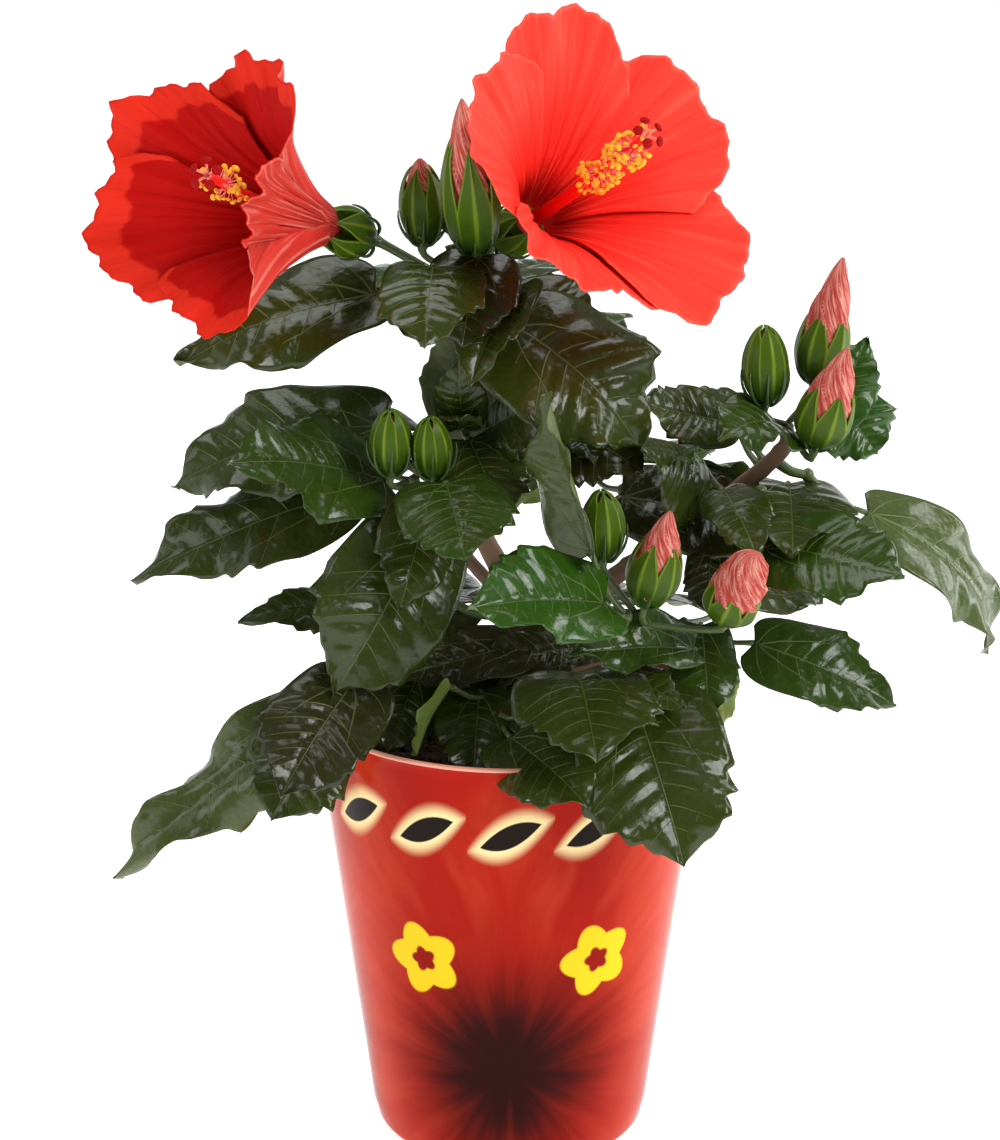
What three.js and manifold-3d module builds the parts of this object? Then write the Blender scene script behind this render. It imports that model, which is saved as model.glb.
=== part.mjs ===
// A potted hibiscus shrub in flower: pot, soil, forked woody stem, masses of leaves, two blooms and buds.
// Millimetres, +Z up. The origin is the centre of the pot's flat underside. +X is the side of the long
// arching leaf, and the blooms look towards -Y. Headings are degrees round +Z from +X, rises are degrees
// above the level.
import * as THREE from 'three';
import { mergeVertices } from 'three/addons/utils/BufferGeometryUtils.js';
import Module from 'manifold-3d';

const wasm = await Module();
wasm.setup();

// ---- driving dimensions -------------------------------------------------------------------------------

const GAP = 0.3; // kept between two solids that touch

const POT = {
  rimRadius: 65, // outside, at the lip
  baseRadius: 45, // outside, above the rounded foot
  height: 149,
  wall: 1.6,
  footRadius: 5, // rounding between side and underside
  lip: 1.1, // how far the rolled lip stands proud of the side
  lipHeight: 2.4,
  sides: 24,
};

const SOIL = {
  level: 136, // height of the flat soil surface, where the stem starts
  shoulder: 3, // drop of the soil towards the wall
  flat: 0.72, // share of the radius that is level
  edge: 0.4, // kept from the wall at the surface
  sides: 24,
};

const LEAF = {
  thickness: 3.2, // of a leaf's solid, at its middle
  stalkRings: [0.15, 0.96], // sections along the stalk
  bladeRings: [0.1, 0.3, 0.55, 0.8], // sections along the blade
  sides: 4, // corners of one section: two margins, and the midrib above and below
  fold: 0.2, // rise of the halves on each side of the midrib, per mm
  thinning: 0.25, // how the thickness runs out towards the tip
};

const OVATE = { scale: 2.15, tip: 0.55 }; // a lower `tip` is blunter

const PETAL = {
  thickness: 3,
  rings: 3, // from the throat to the rim
  rim: 4, // corners on each petal's share of the rim
  notch: 0.6, // how deep the rim dips between two petals
  sway: 6, // how sharply one petal's opening and length give way to the next one's
  widen: 1.3, // above 1, the funnel widens late
  advance: 0.8, // below 1, it runs ahead early
};

const COLUMN = { radii: [2.6, 2, 3.4], sides: 6, steps: 3 }; // foot, waist, and the head with its anthers

const CALYX = { radius: 7.5, below: 4, above: 8 }; // from below the tube's foot to above the throat

const STALK = { foot: 2, end: 1.4, sides: 4, steps: 2, sag: 0.12 };

const SPINDLE = { sides: 6, rings: 4 };

const LIMB = { sides: 6, steps: 5, taper: 8 }; // `taper` is how fast a flared foot narrows

const KNUCKLE = { radius: 3.6, sides: 5, rings: 3 }; // where leaf stalks meet

// ---- headings and frames ------------------------------------------------------------------------------

const radians = THREE.MathUtils.degToRad;
const vector = (p) => new THREE.Vector3(...p);

function direction(heading, rise) {
  const level = Math.cos(radians(rise));
  return new THREE.Vector3(
    level * Math.cos(radians(heading)),
    level * Math.sin(radians(heading)),
    Math.sin(radians(rise)),
  );
}

// Length axis, upward normal and side axis of a blade. Its upper face looks to the sky, leaned by
// `lean` degrees towards the heading `leanTo`.
function bladeFrame(heading, rise, lean, leanTo) {
  const along = direction(heading, rise);
  const sky = new THREE.Vector3(0, 0, Math.cos(radians(lean)));
  const normal = sky.add(direction(leanTo, 0).multiplyScalar(Math.sin(radians(lean))));
  normal.addScaledVector(along, -normal.dot(along)).normalize();
  return { along, normal, side: new THREE.Vector3().crossVectors(normal, along) };
}

// ---- solids -------------------------------------------------------------------------------------------

// A closed three.js geometry as a manifold solid.
function solidOf(geometry) {
  const bare = new THREE.BufferGeometry();
  bare.setAttribute('position', geometry.getAttribute('position'));
  bare.setIndex(geometry.getIndex());
  const merged = mergeVertices(bare);
  return new wasm.Manifold(new wasm.Mesh({
    numProp: 3,
    vertProperties: new Float32Array(merged.getAttribute('position').array),
    triVerts: new Uint32Array(merged.getIndex().array),
  }));
}

// Moves every point of a geometry by a rule that takes and returns a Vector3.
function remap(geometry, rule) {
  const position = geometry.getAttribute('position');
  const point = new THREE.Vector3();
  for (let i = 0; i < position.count; i += 1) {
    const moved = rule(point.fromBufferAttribute(position, i));
    position.setXYZ(i, moved.x, moved.y, moved.z);
  }
  return geometry;
}

// Half the width of an ovate leaf at `u` along it, from 0 at its foot to 1 at its tip, 1 where it is widest.
const ovate = (u) => OVATE.scale * Math.sqrt(u) * (1 - u) ** OVATE.tip;

// A leaf and its stalk in one closed loft on a sphere's grid. The stalk runs from `foot` to the blade's
// base. The blade is a thin diamond in section, and its length bends through `sag` degrees in one even
// arc whose ends lie `length` apart. Grown, it is thicker, wider and longer all round.
function leafSolid({ base, heading, rise, length, width, lean, sag, leanTo }, foot, grow) {
  const { along, normal, side } = bladeFrame(heading, rise, lean, leanTo);
  const [start, root] = [vector(base), vector(foot)];
  const stalk = start.clone().sub(root).normalize();
  const across = Math.abs(stalk.dot(side)) < 0.9 ? side.clone() : normal.clone();
  across.addScaledVector(stalk, -across.dot(stalk)).normalize();
  const above = new THREE.Vector3().crossVectors(across, stalk).negate();
  const turn = radians(sag);
  const arc = (length * (turn / 2)) / Math.sin(turn / 2);
  const rings = LEAF.stalkRings.length + LEAF.bladeRings.length;
  const rows = rings + 1;
  const sphere = new THREE.SphereGeometry(1, LEAF.sides, rows);
  return solidOf(remap(sphere, (p) => {
    const row = Math.round((Math.acos(THREE.MathUtils.clamp(p.y, -1, 1)) / Math.PI) * rows);
    const round = Math.hypot(p.x, p.z);
    const [x, z] = row === 0 || row === rows ? [0, 0] : [p.x / round, p.z / round];
    if (row <= LEAF.stalkRings.length) {
      const u = row === 0 ? 0 : LEAF.stalkRings[row - 1];
      const radius = THREE.MathUtils.lerp(STALK.foot, STALK.end, u) + grow;
      return p.copy(root).lerp(start, u).addScaledVector(across, x * radius)
        .addScaledVector(above, z * radius);
    }
    const tip = row === rows;
    const u = tip ? 1 : LEAF.bladeRings[row - 1 - LEAF.stalkRings.length];
    const y = x * ((width / 2) * ovate(u) + grow);
    const height = z * ((LEAF.thickness / 2) * (1 - u) ** LEAF.thinning + grow)
      + LEAF.fold * Math.abs(y);
    const angle = turn * (0.5 - u);
    const reach = (arc * (Math.sin(turn / 2) - Math.sin(angle))) / turn - Math.sin(angle) * height;
    const lift = (arc * (Math.cos(angle) - Math.cos(turn / 2))) / turn + Math.cos(angle) * height;
    return p.copy(start).addScaledVector(along, reach + (tip ? grow : 0)).addScaledVector(normal, lift)
      .addScaledVector(side, y);
  }));
}

// A corolla: a round plate drawn up into a funnel round the axis of `frame`. Its five petals each have a
// turn round the axis, an opening from it and a length, and the funnel runs smoothly from one to the next.
function funnel({ centre, axis, right, up }, petals, grow) {
  const { rings, rim, thickness, notch, sway, widen, advance } = PETAL;
  const out = Array.from({ length: rings + 1 }, (_, i) => i / rings);
  const plate = [
    ...out.map((v) => new THREE.Vector2(v, -1)),
    ...out.toReversed().map((v) => new THREE.Vector2(v, 1)),
  ];
  const between = (turn) => {
    const weights = petals.map((petal) => Math.max(0, Math.cos(radians(turn - petal.turn))) ** sway);
    const sum = weights.reduce((total, w) => total + w, 0);
    const mean = (key) => petals.reduce((total, petal, i) => total + weights[i] * petal[key], 0) / sum;
    const lobe = Math.max(...petals.map((petal) => Math.cos(radians(turn - petal.turn))));
    return { open: radians(mean('open')), length: mean('length') * (1 - notch * (1 - lobe)) };
  };
  return solidOf(remap(new THREE.LatheGeometry(plate, petals.length * rim), (p) => {
    const v = Math.hypot(p.x, p.z);
    const angle = Math.atan2(-p.z, p.x);
    const { open, length } = between(THREE.MathUtils.radToDeg(angle));
    const layer = Math.sign(p.y) * (thickness / 2 + grow);
    const long = length + grow;
    const slope = v < Number.EPSILON ? Math.PI / 2 : open;
    const radius = long * v ** widen * Math.sin(slope) - layer * Math.cos(slope);
    const ahead = long * v ** advance * Math.cos(slope) + layer * Math.sin(slope);
    return p.copy(centre).addScaledVector(axis, ahead)
      .addScaledVector(right, radius * Math.cos(angle))
      .addScaledVector(up, radius * Math.sin(angle));
  }));
}

// A tapering round limb along a smooth curve through `points`. `radii` run evenly from its foot to its
// tip, and `flare` widens its foot over the first few millimetres.
function limb({ points, radii, flare = 0, sides = LIMB.sides, steps = LIMB.steps }, grow = 0) {
  const curve = new THREE.CatmullRomCurve3(points.map(vector));
  const frames = curve.computeFrenetFrames(steps, false);
  const rod = new THREE.CylinderGeometry(1, 1, 1, sides, steps);
  return solidOf(remap(rod, (p) => {
    const row = Math.round((p.y + 0.5) * steps);
    const u = row / steps;
    const place = u * (radii.length - 1);
    const i = Math.min(Math.floor(place), radii.length - 2);
    const radius = THREE.MathUtils.lerp(radii[i], radii[i + 1], place - i) + flare * (1 - u) ** LIMB.taper
      + grow;
    const past = (u === 0 ? -grow : 0) + (u === 1 ? grow : 0);
    return new THREE.Vector3().copy(curve.getPointAt(u))
      .addScaledVector(curve.getTangentAt(u), past)
      .addScaledVector(frames.normals[row], p.x * radius)
      .addScaledVector(frames.binormals[row], -p.z * radius);
  }));
}

// A spindle: a bud or a calyx.
function spindle({ base, tip, radius }, grow = 0) {
  const start = vector(base);
  const axis = vector(tip).sub(start);
  const turn = new THREE.Quaternion().setFromUnitVectors(
    new THREE.Vector3(0, 1, 0),
    axis.clone().normalize(),
  );
  const length = axis.length();
  const sphere = new THREE.SphereGeometry(1, SPINDLE.sides, SPINDLE.rings);
  return solidOf(remap(sphere, (p) => {
    const u = (p.y + 1) / 2;
    const wide = radius + grow;
    p.set(p.x * wide, u * (length + 2 * grow) - grow, p.z * wide);
    return p.applyQuaternion(turn).add(start);
  }));
}

// A knuckle at `place`, where stalks meet.
function knuckle([x, y, z], grow) {
  const { radius, sides, rings } = KNUCKLE;
  return solidOf(new THREE.SphereGeometry(radius + grow, sides, rings).translate(x, y, z));
}

const joined = (solids) => solids.reduce((whole, next) => whole.add(next));

// The largest body of a solid, without the crumbs that a cut leaves.
function largest(solid) {
  const bodies = solid.decompose();
  return bodies.reduce((best, body) => (body.volume() > best.volume() ? body : best));
}

// ---- pot and soil -------------------------------------------------------------------------------------

const sideSlope = (POT.rimRadius - POT.baseRadius) / POT.height;
const outsideAt = (z) => POT.baseRadius + sideSlope * z;

function potProfile() {
  const { height, wall, footRadius, lip, lipHeight, baseRadius } = POT;
  const profile = new THREE.Path();
  profile.moveTo(0, 0);
  profile.lineTo(baseRadius - footRadius, 0);
  profile.quadraticCurveTo(baseRadius, 0, outsideAt(footRadius), footRadius);
  profile.lineTo(outsideAt(height - lipHeight), height - lipHeight);
  profile.lineTo(outsideAt(height - lipHeight) + lip, height - lipHeight + lip / 2);
  profile.lineTo(outsideAt(height) + lip, height - lip / 2);
  profile.lineTo(outsideAt(height) + lip / 2, height);
  profile.lineTo(outsideAt(height) - wall, height);
  profile.lineTo(outsideAt(footRadius) - wall, footRadius);
  profile.quadraticCurveTo(baseRadius - wall, wall, baseRadius - footRadius, wall);
  profile.lineTo(0, wall);
  return profile.getPoints(2);
}

function soilProfile() {
  const top = SOIL.level;
  const insideAt = (z) => outsideAt(z) - POT.wall - GAP;
  const low = POT.wall + GAP;
  return [
    [0, low],
    [insideAt(POT.footRadius) - POT.footRadius, low],
    [insideAt(POT.footRadius) - 1, POT.footRadius + 1],
    [insideAt(top) - SOIL.edge, top - SOIL.shoulder],
    [insideAt(top) * SOIL.flat, top],
    [0, top],
  ].map(([r, z]) => new THREE.Vector2(r, z));
}

// Lathe geometry turns round +Y, so a quarter turn stands it up along +Z.
const turned = (profile, sides) => new THREE.LatheGeometry(profile, sides).rotateX(Math.PI / 2);

// ---- stems --------------------------------------------------------------------------------------------

const SOIL_TOP = SOIL.level + GAP;

const STEMS = {
  stem_main: {
    points: [[-3, 3, SOIL_TOP], [0, 4, 160], [-1, 4, 186], [-13, 3, 214], [-16, 2, 243], [-14, 0, 284]],
    radii: [4.2, 3.8, 3.2, 2.8, 2.3],
    flare: 2.6,
    steps: 7,
  },
  bough_right: {
    points: [[2, 6, 158], [28, 12, 182], [60, 6, 208], [86, -2, 233], [88, -3, 240]],
    radii: [3.4, 3.1, 2.8, 2.8, 2.6],
  },
  bough_left: {
    points: [[-12, 2, 210], [-24, -7, 225], [-33, -13, 233]],
    radii: [2.4, 2.1, 1.9],
    steps: 4,
  },
  bough_front: {
    points: [[1, -1, 152], [18, -16, 162], [34, -30, 172], [42, -38, 184]],
    radii: [2.8, 2.5, 2.3, 2.1],
  },
  bough_low_left: {
    points: [[-3, 1, 148], [-20, -8, 158], [-33, -16, 163]],
    radii: [2.5, 2.2, 2],
  },
  bough_low_right: {
    points: [[8, 8, 164], [30, 2, 168], [53, -9, 177]],
    radii: [2.5, 2.2, 2],
  },
  bough_back_left: {
    points: [[-2, 6, 182], [-18, 20, 196], [-30, 36, 210]],
    radii: [2.4, 2.2, 1.9],
    steps: 4,
  },
  bough_back_right: {
    points: [[22, 14, 178], [30, 28, 188], [37, 43, 205]],
    radii: [2.4, 2.2, 1.9],
    steps: 4,
  },
  bough_top_back: {
    points: [[-15, 6, 238], [-8, 16, 250], [0, 28, 262]],
    radii: [2.1, 1.9, 1.8],
    steps: 4,
  },
};

// ---- leaves -------------------------------------------------------------------------------------------

// One leaf: where its blade starts, its heading and rise, its length and width, how far its face leans
// towards `leanTo`, and how much it arches.
const leaf = (base, heading, rise, length, width, lean, sag, leanTo = 270) => ({
  base, heading, rise, length, width, lean, sag, leanTo,
});

// Each mass of leaves: the knuckle on its shoot where the leaf stalks meet, and its leaves.
const FOLIAGE = {
  foliage_upper_left: {
    foot: [-26, 0, 286],
    leaves: [
      leaf([-42, -6, 288], 188, -14, 64, 40, 34, 35),
      leaf([-38, 12, 285], 190, -12, 32, 22, -20, 30),
    ],
  },
  foliage_top: {
    foot: [-14, 0, 294],
    leaves: [
      leaf([-24, -25, 299], 267, -25, 39, 32, 52, 45),
      leaf([-9, -20, 301], 259, -42, 35, 28, 35, 40),
      leaf([2, -20, 292], 245, -38, 42, 22, 10, 30),
    ],
  },
  foliage_top_right: {
    foot: [-2, 4, 282],
    leaves: [
      leaf([0, -10, 276], 340, -39, 56, 46, 40, 60),
      leaf([3, 5, 283], 352, -11, 25, 23, 40, 20),
    ],
  },
  foliage_column: {
    foot: [-17, -8, 245],
    leaves: [
      leaf([-16, -10, 242], 213, 76, 36, 27, -40, 15),
      leaf([-13, -6, 239], 318, 28, 42, 33, 50, 20),
      leaf([-13, -16, 241], 288, -29, 36, 30, 40, 40),
    ],
  },
  foliage_left: {
    foot: [-35, -14, 234],
    leaves: [
      leaf([-40, 5, 246], 180, -22, 73, 38, 30, 45),
      leaf([-40, -15, 228], 217, 15, 60, 40, 44, 25),
      leaf([-50, -5, 212], 184, -16, 76, 38, 38, 25),
    ],
  },
  foliage_left_hanging: {
    foot: [-22, -22, 228],
    leaves: [
      leaf([-34, -30, 219], 233, -51, 60, 46, 50, 40),
      leaf([-20, -40, 234], 281, -25, 36, 35, 50, 35),
    ],
  },
  foliage_left_small: {
    foot: [-22, 12, 180],
    leaves: [
      leaf([-41, 24, 178], 186, -9, 50, 20, 20, 20),
      leaf([-20, 32, 176], 120, -16, 52, 30, 25, 35, 110),
    ],
  },
  foliage_middle: {
    foot: [20, 6, 236],
    leaves: [
      leaf([13, 0, 243], 325, -17, 37, 32, 45, 30),
      leaf([46, 12, 240], 10, 12, 32, 24, 40, 20),
      leaf([40, -6, 234], 300, 10, 34, 26, 40, 30),
    ],
  },
  foliage_spear: {
    foot: [36, -44, 192],
    leaves: [
      leaf([25, -50, 214], 154, 76, 52, 28, 60, 10, 205),
      leaf([38, -55, 202], 218, 10, 61, 37, 46, 25),
    ],
  },
  foliage_bud_side: {
    foot: [94, 2, 240],
    leaves: [
      leaf([105, 5, 240], 37, 57, 30, 24, 60, 20),
      leaf([106, 10, 246], 336, -54, 24, 28, 60, 30),
    ],
  },
  foliage_right: {
    foot: [80, -8, 222],
    leaves: [
      leaf([38, 9, 215], 334, -7, 55, 36, 40, 20),
      leaf([90, 4, 222], 268, -10, 50, 37, 32, 25),
      leaf([79, -30, 210], 328, 0, 49, 37, 36, 20),
    ],
  },
  foliage_far_right: {
    foot: [96, 4, 224],
    leaves: [
      leaf([109, 0, 222], 17, -49, 78, 36, 30, 75),
    ],
  },
  foliage_low_right: {
    foot: [56, -10, 178],
    leaves: [
      leaf([76, -20, 177], 353, -28, 45, 37, 40, 30),
      leaf([61, -20, 181], 273, -37, 37, 22, 40, 30),
      leaf([76, 14, 183], 26, -8, 35, 25, 30, 20),
    ],
  },
  foliage_front: {
    foot: [34, -36, 168],
    leaves: [
      leaf([21, -40, 172], 276, -14, 50, 43, 45, 40),
      leaf([37, -45, 165], 290, -45, 58, 47, 45, 55),
    ],
  },
  foliage_front_low: {
    foot: [-6, -24, 158],
    leaves: [
      leaf([0, -45, 152], 304, -13, 43, 32, 40, 30),
      leaf([-2, -14, 168], 203, -8, 46, 24, 20, 20),
      leaf([-10, -26, 157], 262, -38, 30, 30, 45, 30),
    ],
  },
  foliage_low_left: {
    foot: [-37, -19, 164],
    leaves: [
      leaf([-53, -20, 151], 190, -34, 90, 44, 41, 20),
      leaf([-45, -44, 169], 234, -31, 49, 38, 50, 30),
    ],
  },
  foliage_back_left: {
    foot: [-32, 39, 212],
    leaves: [
      leaf([-46, 50, 216], 145, -12, 66, 40, 40, 45, 145),
      leaf([-30, 60, 214], 95, -20, 62, 38, 45, 40, 95),
      leaf([-56, 36, 206], 178, -30, 60, 34, 35, 40, 150),
    ],
  },
  foliage_back_right: {
    foot: [38, 45, 207],
    leaves: [
      leaf([44, 62, 212], 75, -14, 62, 40, 40, 40, 75),
      leaf([58, 46, 208], 25, -20, 62, 38, 35, 45, 40),
      leaf([26, 64, 202], 108, -38, 56, 34, 45, 35, 100),
    ],
  },
  foliage_back_top: {
    foot: [2, 31, 264],
    leaves: [
      leaf([8, 44, 268], 62, -18, 60, 40, 40, 45, 70),
      leaf([-14, 40, 270], 138, -10, 60, 38, 38, 40, 130),
      leaf([0, 46, 256], 98, -42, 54, 34, 45, 35, 95),
    ],
  },
  foliage_back_upper: {
    foot: [-20, 14, 274],
    leaves: [
      leaf([-32, 24, 280], 148, -6, 56, 36, 35, 45, 140),
      leaf([-18, 30, 276], 105, -30, 54, 36, 45, 40, 105),
      leaf([-4, 22, 284], 50, -8, 50, 32, 30, 40, 60),
    ],
  },
  foliage_back_middle: {
    foot: [-22, 14, 226],
    leaves: [
      leaf([-36, 28, 232], 152, -4, 60, 36, 35, 45, 140),
      leaf([-8, 34, 232], 84, -22, 58, 38, 45, 40, 90),
    ],
  },
  foliage_back_low: {
    foot: [8, 34, 166],
    leaves: [
      leaf([14, 52, 168], 78, -26, 64, 40, 40, 50, 80),
      leaf([-10, 50, 166], 118, -24, 60, 36, 40, 45, 115),
      leaf([34, 44, 168], 38, -20, 60, 36, 35, 45, 50),
    ],
  },
};

// Where a mass has no bough's tip at its foot, this is the place on a stem that its own stalk comes from.
const STALKS = {
  foliage_upper_left: [-15, 1, 276],
  foliage_top_right: [-13, 2, 274],
  foliage_left_hanging: [-14, 1, 218],
  foliage_left_small: [-2, 5, 176],
  foliage_column: [-15, -2, 236],
  foliage_middle: [-13, 3, 226],
  foliage_spear: [32, -30, 171],
  foliage_right: [70, 2, 215],
  foliage_far_right: [84, 0, 231],
  foliage_bud_side: [87, 0, 234],
  foliage_front: [20, -20, 163],
  foliage_front_low: [0, 0, 148],
  foliage_back_low: [0, 6, 152],
  foliage_back_upper: [-15, 2, 262],
  foliage_back_middle: [-13, 4, 214],
};

// A stalk from `start` to `end`, sagging a little between them.
function stalk(start, end, grow) {
  const [a, b] = [vector(start), vector(end)];
  const middle = a.clone().lerp(b, 0.5);
  middle.z -= STALK.sag * a.distanceTo(b);
  return limb({
    points: [start, middle.toArray(), end],
    radii: [STALK.foot, STALK.end],
    sides: STALK.sides,
    steps: STALK.steps,
  }, grow);
}

function foliage(name, grow = 0) {
  const { foot, leaves } = FOLIAGE[name];
  const solids = [knuckle(foot, grow), ...leaves.map((one) => leafSolid(one, foot, grow))];
  if (STALKS[name]) solids.push(stalk(STALKS[name], foot, grow));
  return joined(solids);
}

// ---- blooms -------------------------------------------------------------------------------------------

// A bloom looks along its heading and rise from its throat, on a tube that starts behind the throat, with
// a column standing ahead of it.
const petal = (turn, open, length) => ({ turn, open, length });

// The petals run smoothly into one another. Each has a turn round the axis, which starts at the side of
// heading + 90 and rises first, an opening from the axis, and a length.
const BLOOMS = {
  bloom_left: {
    foot: [-18, 0, 288],
    throat: [-58, -19, 311],
    heading: 233,
    rise: 20,
    tube: 20,
    column: 52,
    petals: [petal(110, 44, 62), petal(160, 55, 70), petal(204, 55, 70), petal(250, 50, 56), petal(4, 18, 52)],
  },
  bloom_right: {
    foot: [-12, 0, 288],
    throat: [8, -14, 312],
    heading: 306,
    rise: 29,
    tube: 18,
    column: 62,
    petals: [petal(86, 56, 66), petal(22, 56, 63), petal(314, 55, 66), petal(246, 42, 56), petal(152, 48, 54)],
  },
};

function bloom(name, grow = 0) {
  const { foot, throat, heading, rise, tube, column, petals } = BLOOMS[name];
  const axis = direction(heading, rise);
  const centre = vector(throat);
  const right = direction(heading + 90, 0);
  const up = new THREE.Vector3().crossVectors(axis, right);
  const at = (distance) => centre.clone().addScaledVector(axis, distance).toArray();
  return joined([
    stalk(foot, at(-tube), grow),
    spindle({ base: at(-tube - CALYX.below), tip: at(CALYX.above), radius: CALYX.radius }, grow),
    funnel({ centre, axis, right, up }, petals, grow),
    limb({ points: [at(0), at(column / 2), at(column)], ...COLUMN }, grow),
  ]);
}

// ---- buds ---------------------------------------------------------------------------------------------

const bud = (base, tip, radius) => ({ base, tip, radius });

const BUDS = {
  buds_top: {
    foot: [-16, 2, 290],
    buds: [
      bud([-27, -6, 304], [-29, -12, 332], 7.5),
      bud([-16, 2, 304], [-16, 0, 322], 3.5),
      bud([-10, 6, 306], [-13, 4, 346], 8.5),
    ],
  },
  buds_left: {
    foot: [-28, -24, 228],
    buds: [
      bud([-37, -30, 234], [-37, -34, 256], 7),
      bud([-23, -31, 233], [-24, -35, 255], 6.5),
    ],
  },
  buds_right: {
    foot: [88, -4, 243],
    buds: [
      bud([81, -6, 249], [80, -6, 275], 7.5),
      bud([96, 2, 256], [103, 2, 297], 9),
      bud([96, -14, 238], [106, -20, 273], 8.5),
    ],
  },
  buds_front: {
    foot: [42, -40, 188],
    buds: [
      bud([29, -40, 210], [28, -44, 234], 7),
      bud([44, -46, 197], [51, -50, 230], 9),
      bud([66, -46, 192], [76, -56, 217], 9.5),
    ],
  },
};

function budCluster(name, grow = 0) {
  const { foot, buds } = BUDS[name];
  const solids = [knuckle(foot, grow)];
  for (const one of buds) {
    const inside = vector(one.base).lerp(vector(one.tip), 0.2);
    solids.push(stalk(foot, inside.toArray(), grow));
    solids.push(spindle(one, grow));
  }
  return joined(solids);
}

// ---- the whole shrub ----------------------------------------------------------------------------------

const COLOURS = {
  pot: { color: 0xc4301f, roughness: 0.25 },
  soil: { color: 0x2c1d14, roughness: 0.95 },
  stem: { color: 0x6b4a32, roughness: 0.8 },
  leaf: { color: 0x2c4420, roughness: 0.35 },
  petal: { color: 0xe8281c, roughness: 0.5 },
  bud: { color: 0x6f9a2e, roughness: 0.45 },
};

const shrub = new THREE.Group();

function place(name, geometry, colour) {
  const mesh = new THREE.Mesh(geometry, new THREE.MeshStandardMaterial({ ...COLOURS[colour], metalness: 0 }));
  mesh.name = name;
  shrub.add(mesh);
}

function geometryOf(solid) {
  const { vertProperties, triVerts } = solid.getMesh();
  const geometry = new THREE.BufferGeometry();
  geometry.setAttribute('position', new THREE.BufferAttribute(new Float32Array(vertProperties), 3));
  geometry.setIndex(new THREE.BufferAttribute(new Uint32Array(triVerts), 1));
  geometry.computeVertexNormals();
  return geometry;
}

const apart = (a, b) => [0, 1, 2].some((i) => a.min[i] > b.max[i] || b.min[i] > a.max[i]);

// Everything placed so far, grown by the gap, for the pieces after it to be cut round.
const placed = [];

function placeCut(name, make, colour) {
  let solid = make(name, 0);
  for (const earlier of placed) {
    if (!apart(solid.boundingBox(), earlier.boundingBox())) solid = solid.subtract(earlier);
  }
  placed.push(make(name, GAP));
  place(name, geometryOf(largest(solid)), colour);
}

const pot = turned(potProfile(), POT.sides);
const soil = turned(soilProfile(), SOIL.sides);
place('pot', pot, 'pot');
place('soil', soil, 'soil');
placed.push(solidOf(pot), solidOf(soil));

for (const name of Object.keys(STEMS)) placeCut(name, (key, grow) => limb(STEMS[key], grow), 'stem');
for (const name of Object.keys(BLOOMS)) placeCut(name, bloom, 'petal');
for (const name of Object.keys(BUDS)) placeCut(name, budCluster, 'bud');
for (const name of Object.keys(FOLIAGE)) placeCut(name, foliage, 'leaf');

export default shrub;
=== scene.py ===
"""A potted hibiscus shrub in flower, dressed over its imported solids.

The solids give the places of the pot, the stems, the masses of leaves, the blooms and the buds. Each is
replaced here by a finer mesh in the same place. Places in the tables are in millimetres, +Z up, from the
centre of the pot's underside. Headings are degrees round +Z from +X, and rises are degrees above level.
"""

from __future__ import annotations

import logging
import math
from dataclasses import dataclass, field
from enum import Enum

import bpy
import numpy as np
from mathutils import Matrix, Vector


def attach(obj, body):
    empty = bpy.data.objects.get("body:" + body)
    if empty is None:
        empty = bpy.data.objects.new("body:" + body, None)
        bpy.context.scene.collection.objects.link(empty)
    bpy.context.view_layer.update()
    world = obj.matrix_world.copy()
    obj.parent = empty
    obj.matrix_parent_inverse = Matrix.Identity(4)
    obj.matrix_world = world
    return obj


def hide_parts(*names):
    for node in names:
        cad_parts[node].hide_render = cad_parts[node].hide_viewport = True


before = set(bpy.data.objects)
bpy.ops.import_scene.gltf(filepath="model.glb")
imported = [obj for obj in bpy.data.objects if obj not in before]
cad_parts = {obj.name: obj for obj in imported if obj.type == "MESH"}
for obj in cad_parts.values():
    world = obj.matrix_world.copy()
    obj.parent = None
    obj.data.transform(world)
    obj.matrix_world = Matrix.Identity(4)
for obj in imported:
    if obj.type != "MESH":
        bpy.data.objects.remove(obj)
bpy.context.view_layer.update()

LOG = logging.getLogger("hibiscus")
MM = 0.001
ROOT = "root"
PLACE = "place"
SKY = np.array([0.0, 0.0, 1.0])
TINY = 1e-12
CURVE_STEPS = 24
GOLDEN_TURN = 2.4

Point = tuple[float, float, float]
Colour = tuple[float, float, float]
Array = np.ndarray


# ---- numbers and directions ----------------------------------------------------------------------------


def hue(code: int) -> Colour:
    """Turns a display colour into the linear colour that a shader takes.

    Args:
        code: The colour as red, green and blue bytes in one number.

    Returns:
        Three linear channels from 0 to 1.
    """
    channels = ((code >> shift & 255) / 255 for shift in (16, 8, 0))
    return tuple(c / 12.92 if c < 0.04045 else ((c + 0.055) / 1.055) ** 2.4 for c in channels)


def direction(heading: float, rise: float) -> Array:
    """Gives the unit vector of a heading and a rise.

    Args:
        heading: Degrees round +Z from +X.
        rise: Degrees above the level.

    Returns:
        The unit vector.
    """
    h, r = math.radians(heading), math.radians(rise)
    return np.array([math.cos(r) * math.cos(h), math.cos(r) * math.sin(h), math.sin(r)])


def unit(vectors: Array) -> Array:
    """Scales each vector to length one."""
    return vectors / np.maximum(np.linalg.norm(vectors, axis=-1, keepdims=True), TINY)


def smooth(low: float, high: float, x: Array | float) -> Array:
    """Rises smoothly from 0 at `low` to 1 at `high`."""
    t = np.clip((np.asarray(x, float) - low) / (high - low), 0, 1)
    return t * t * (3 - 2 * t)


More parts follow.
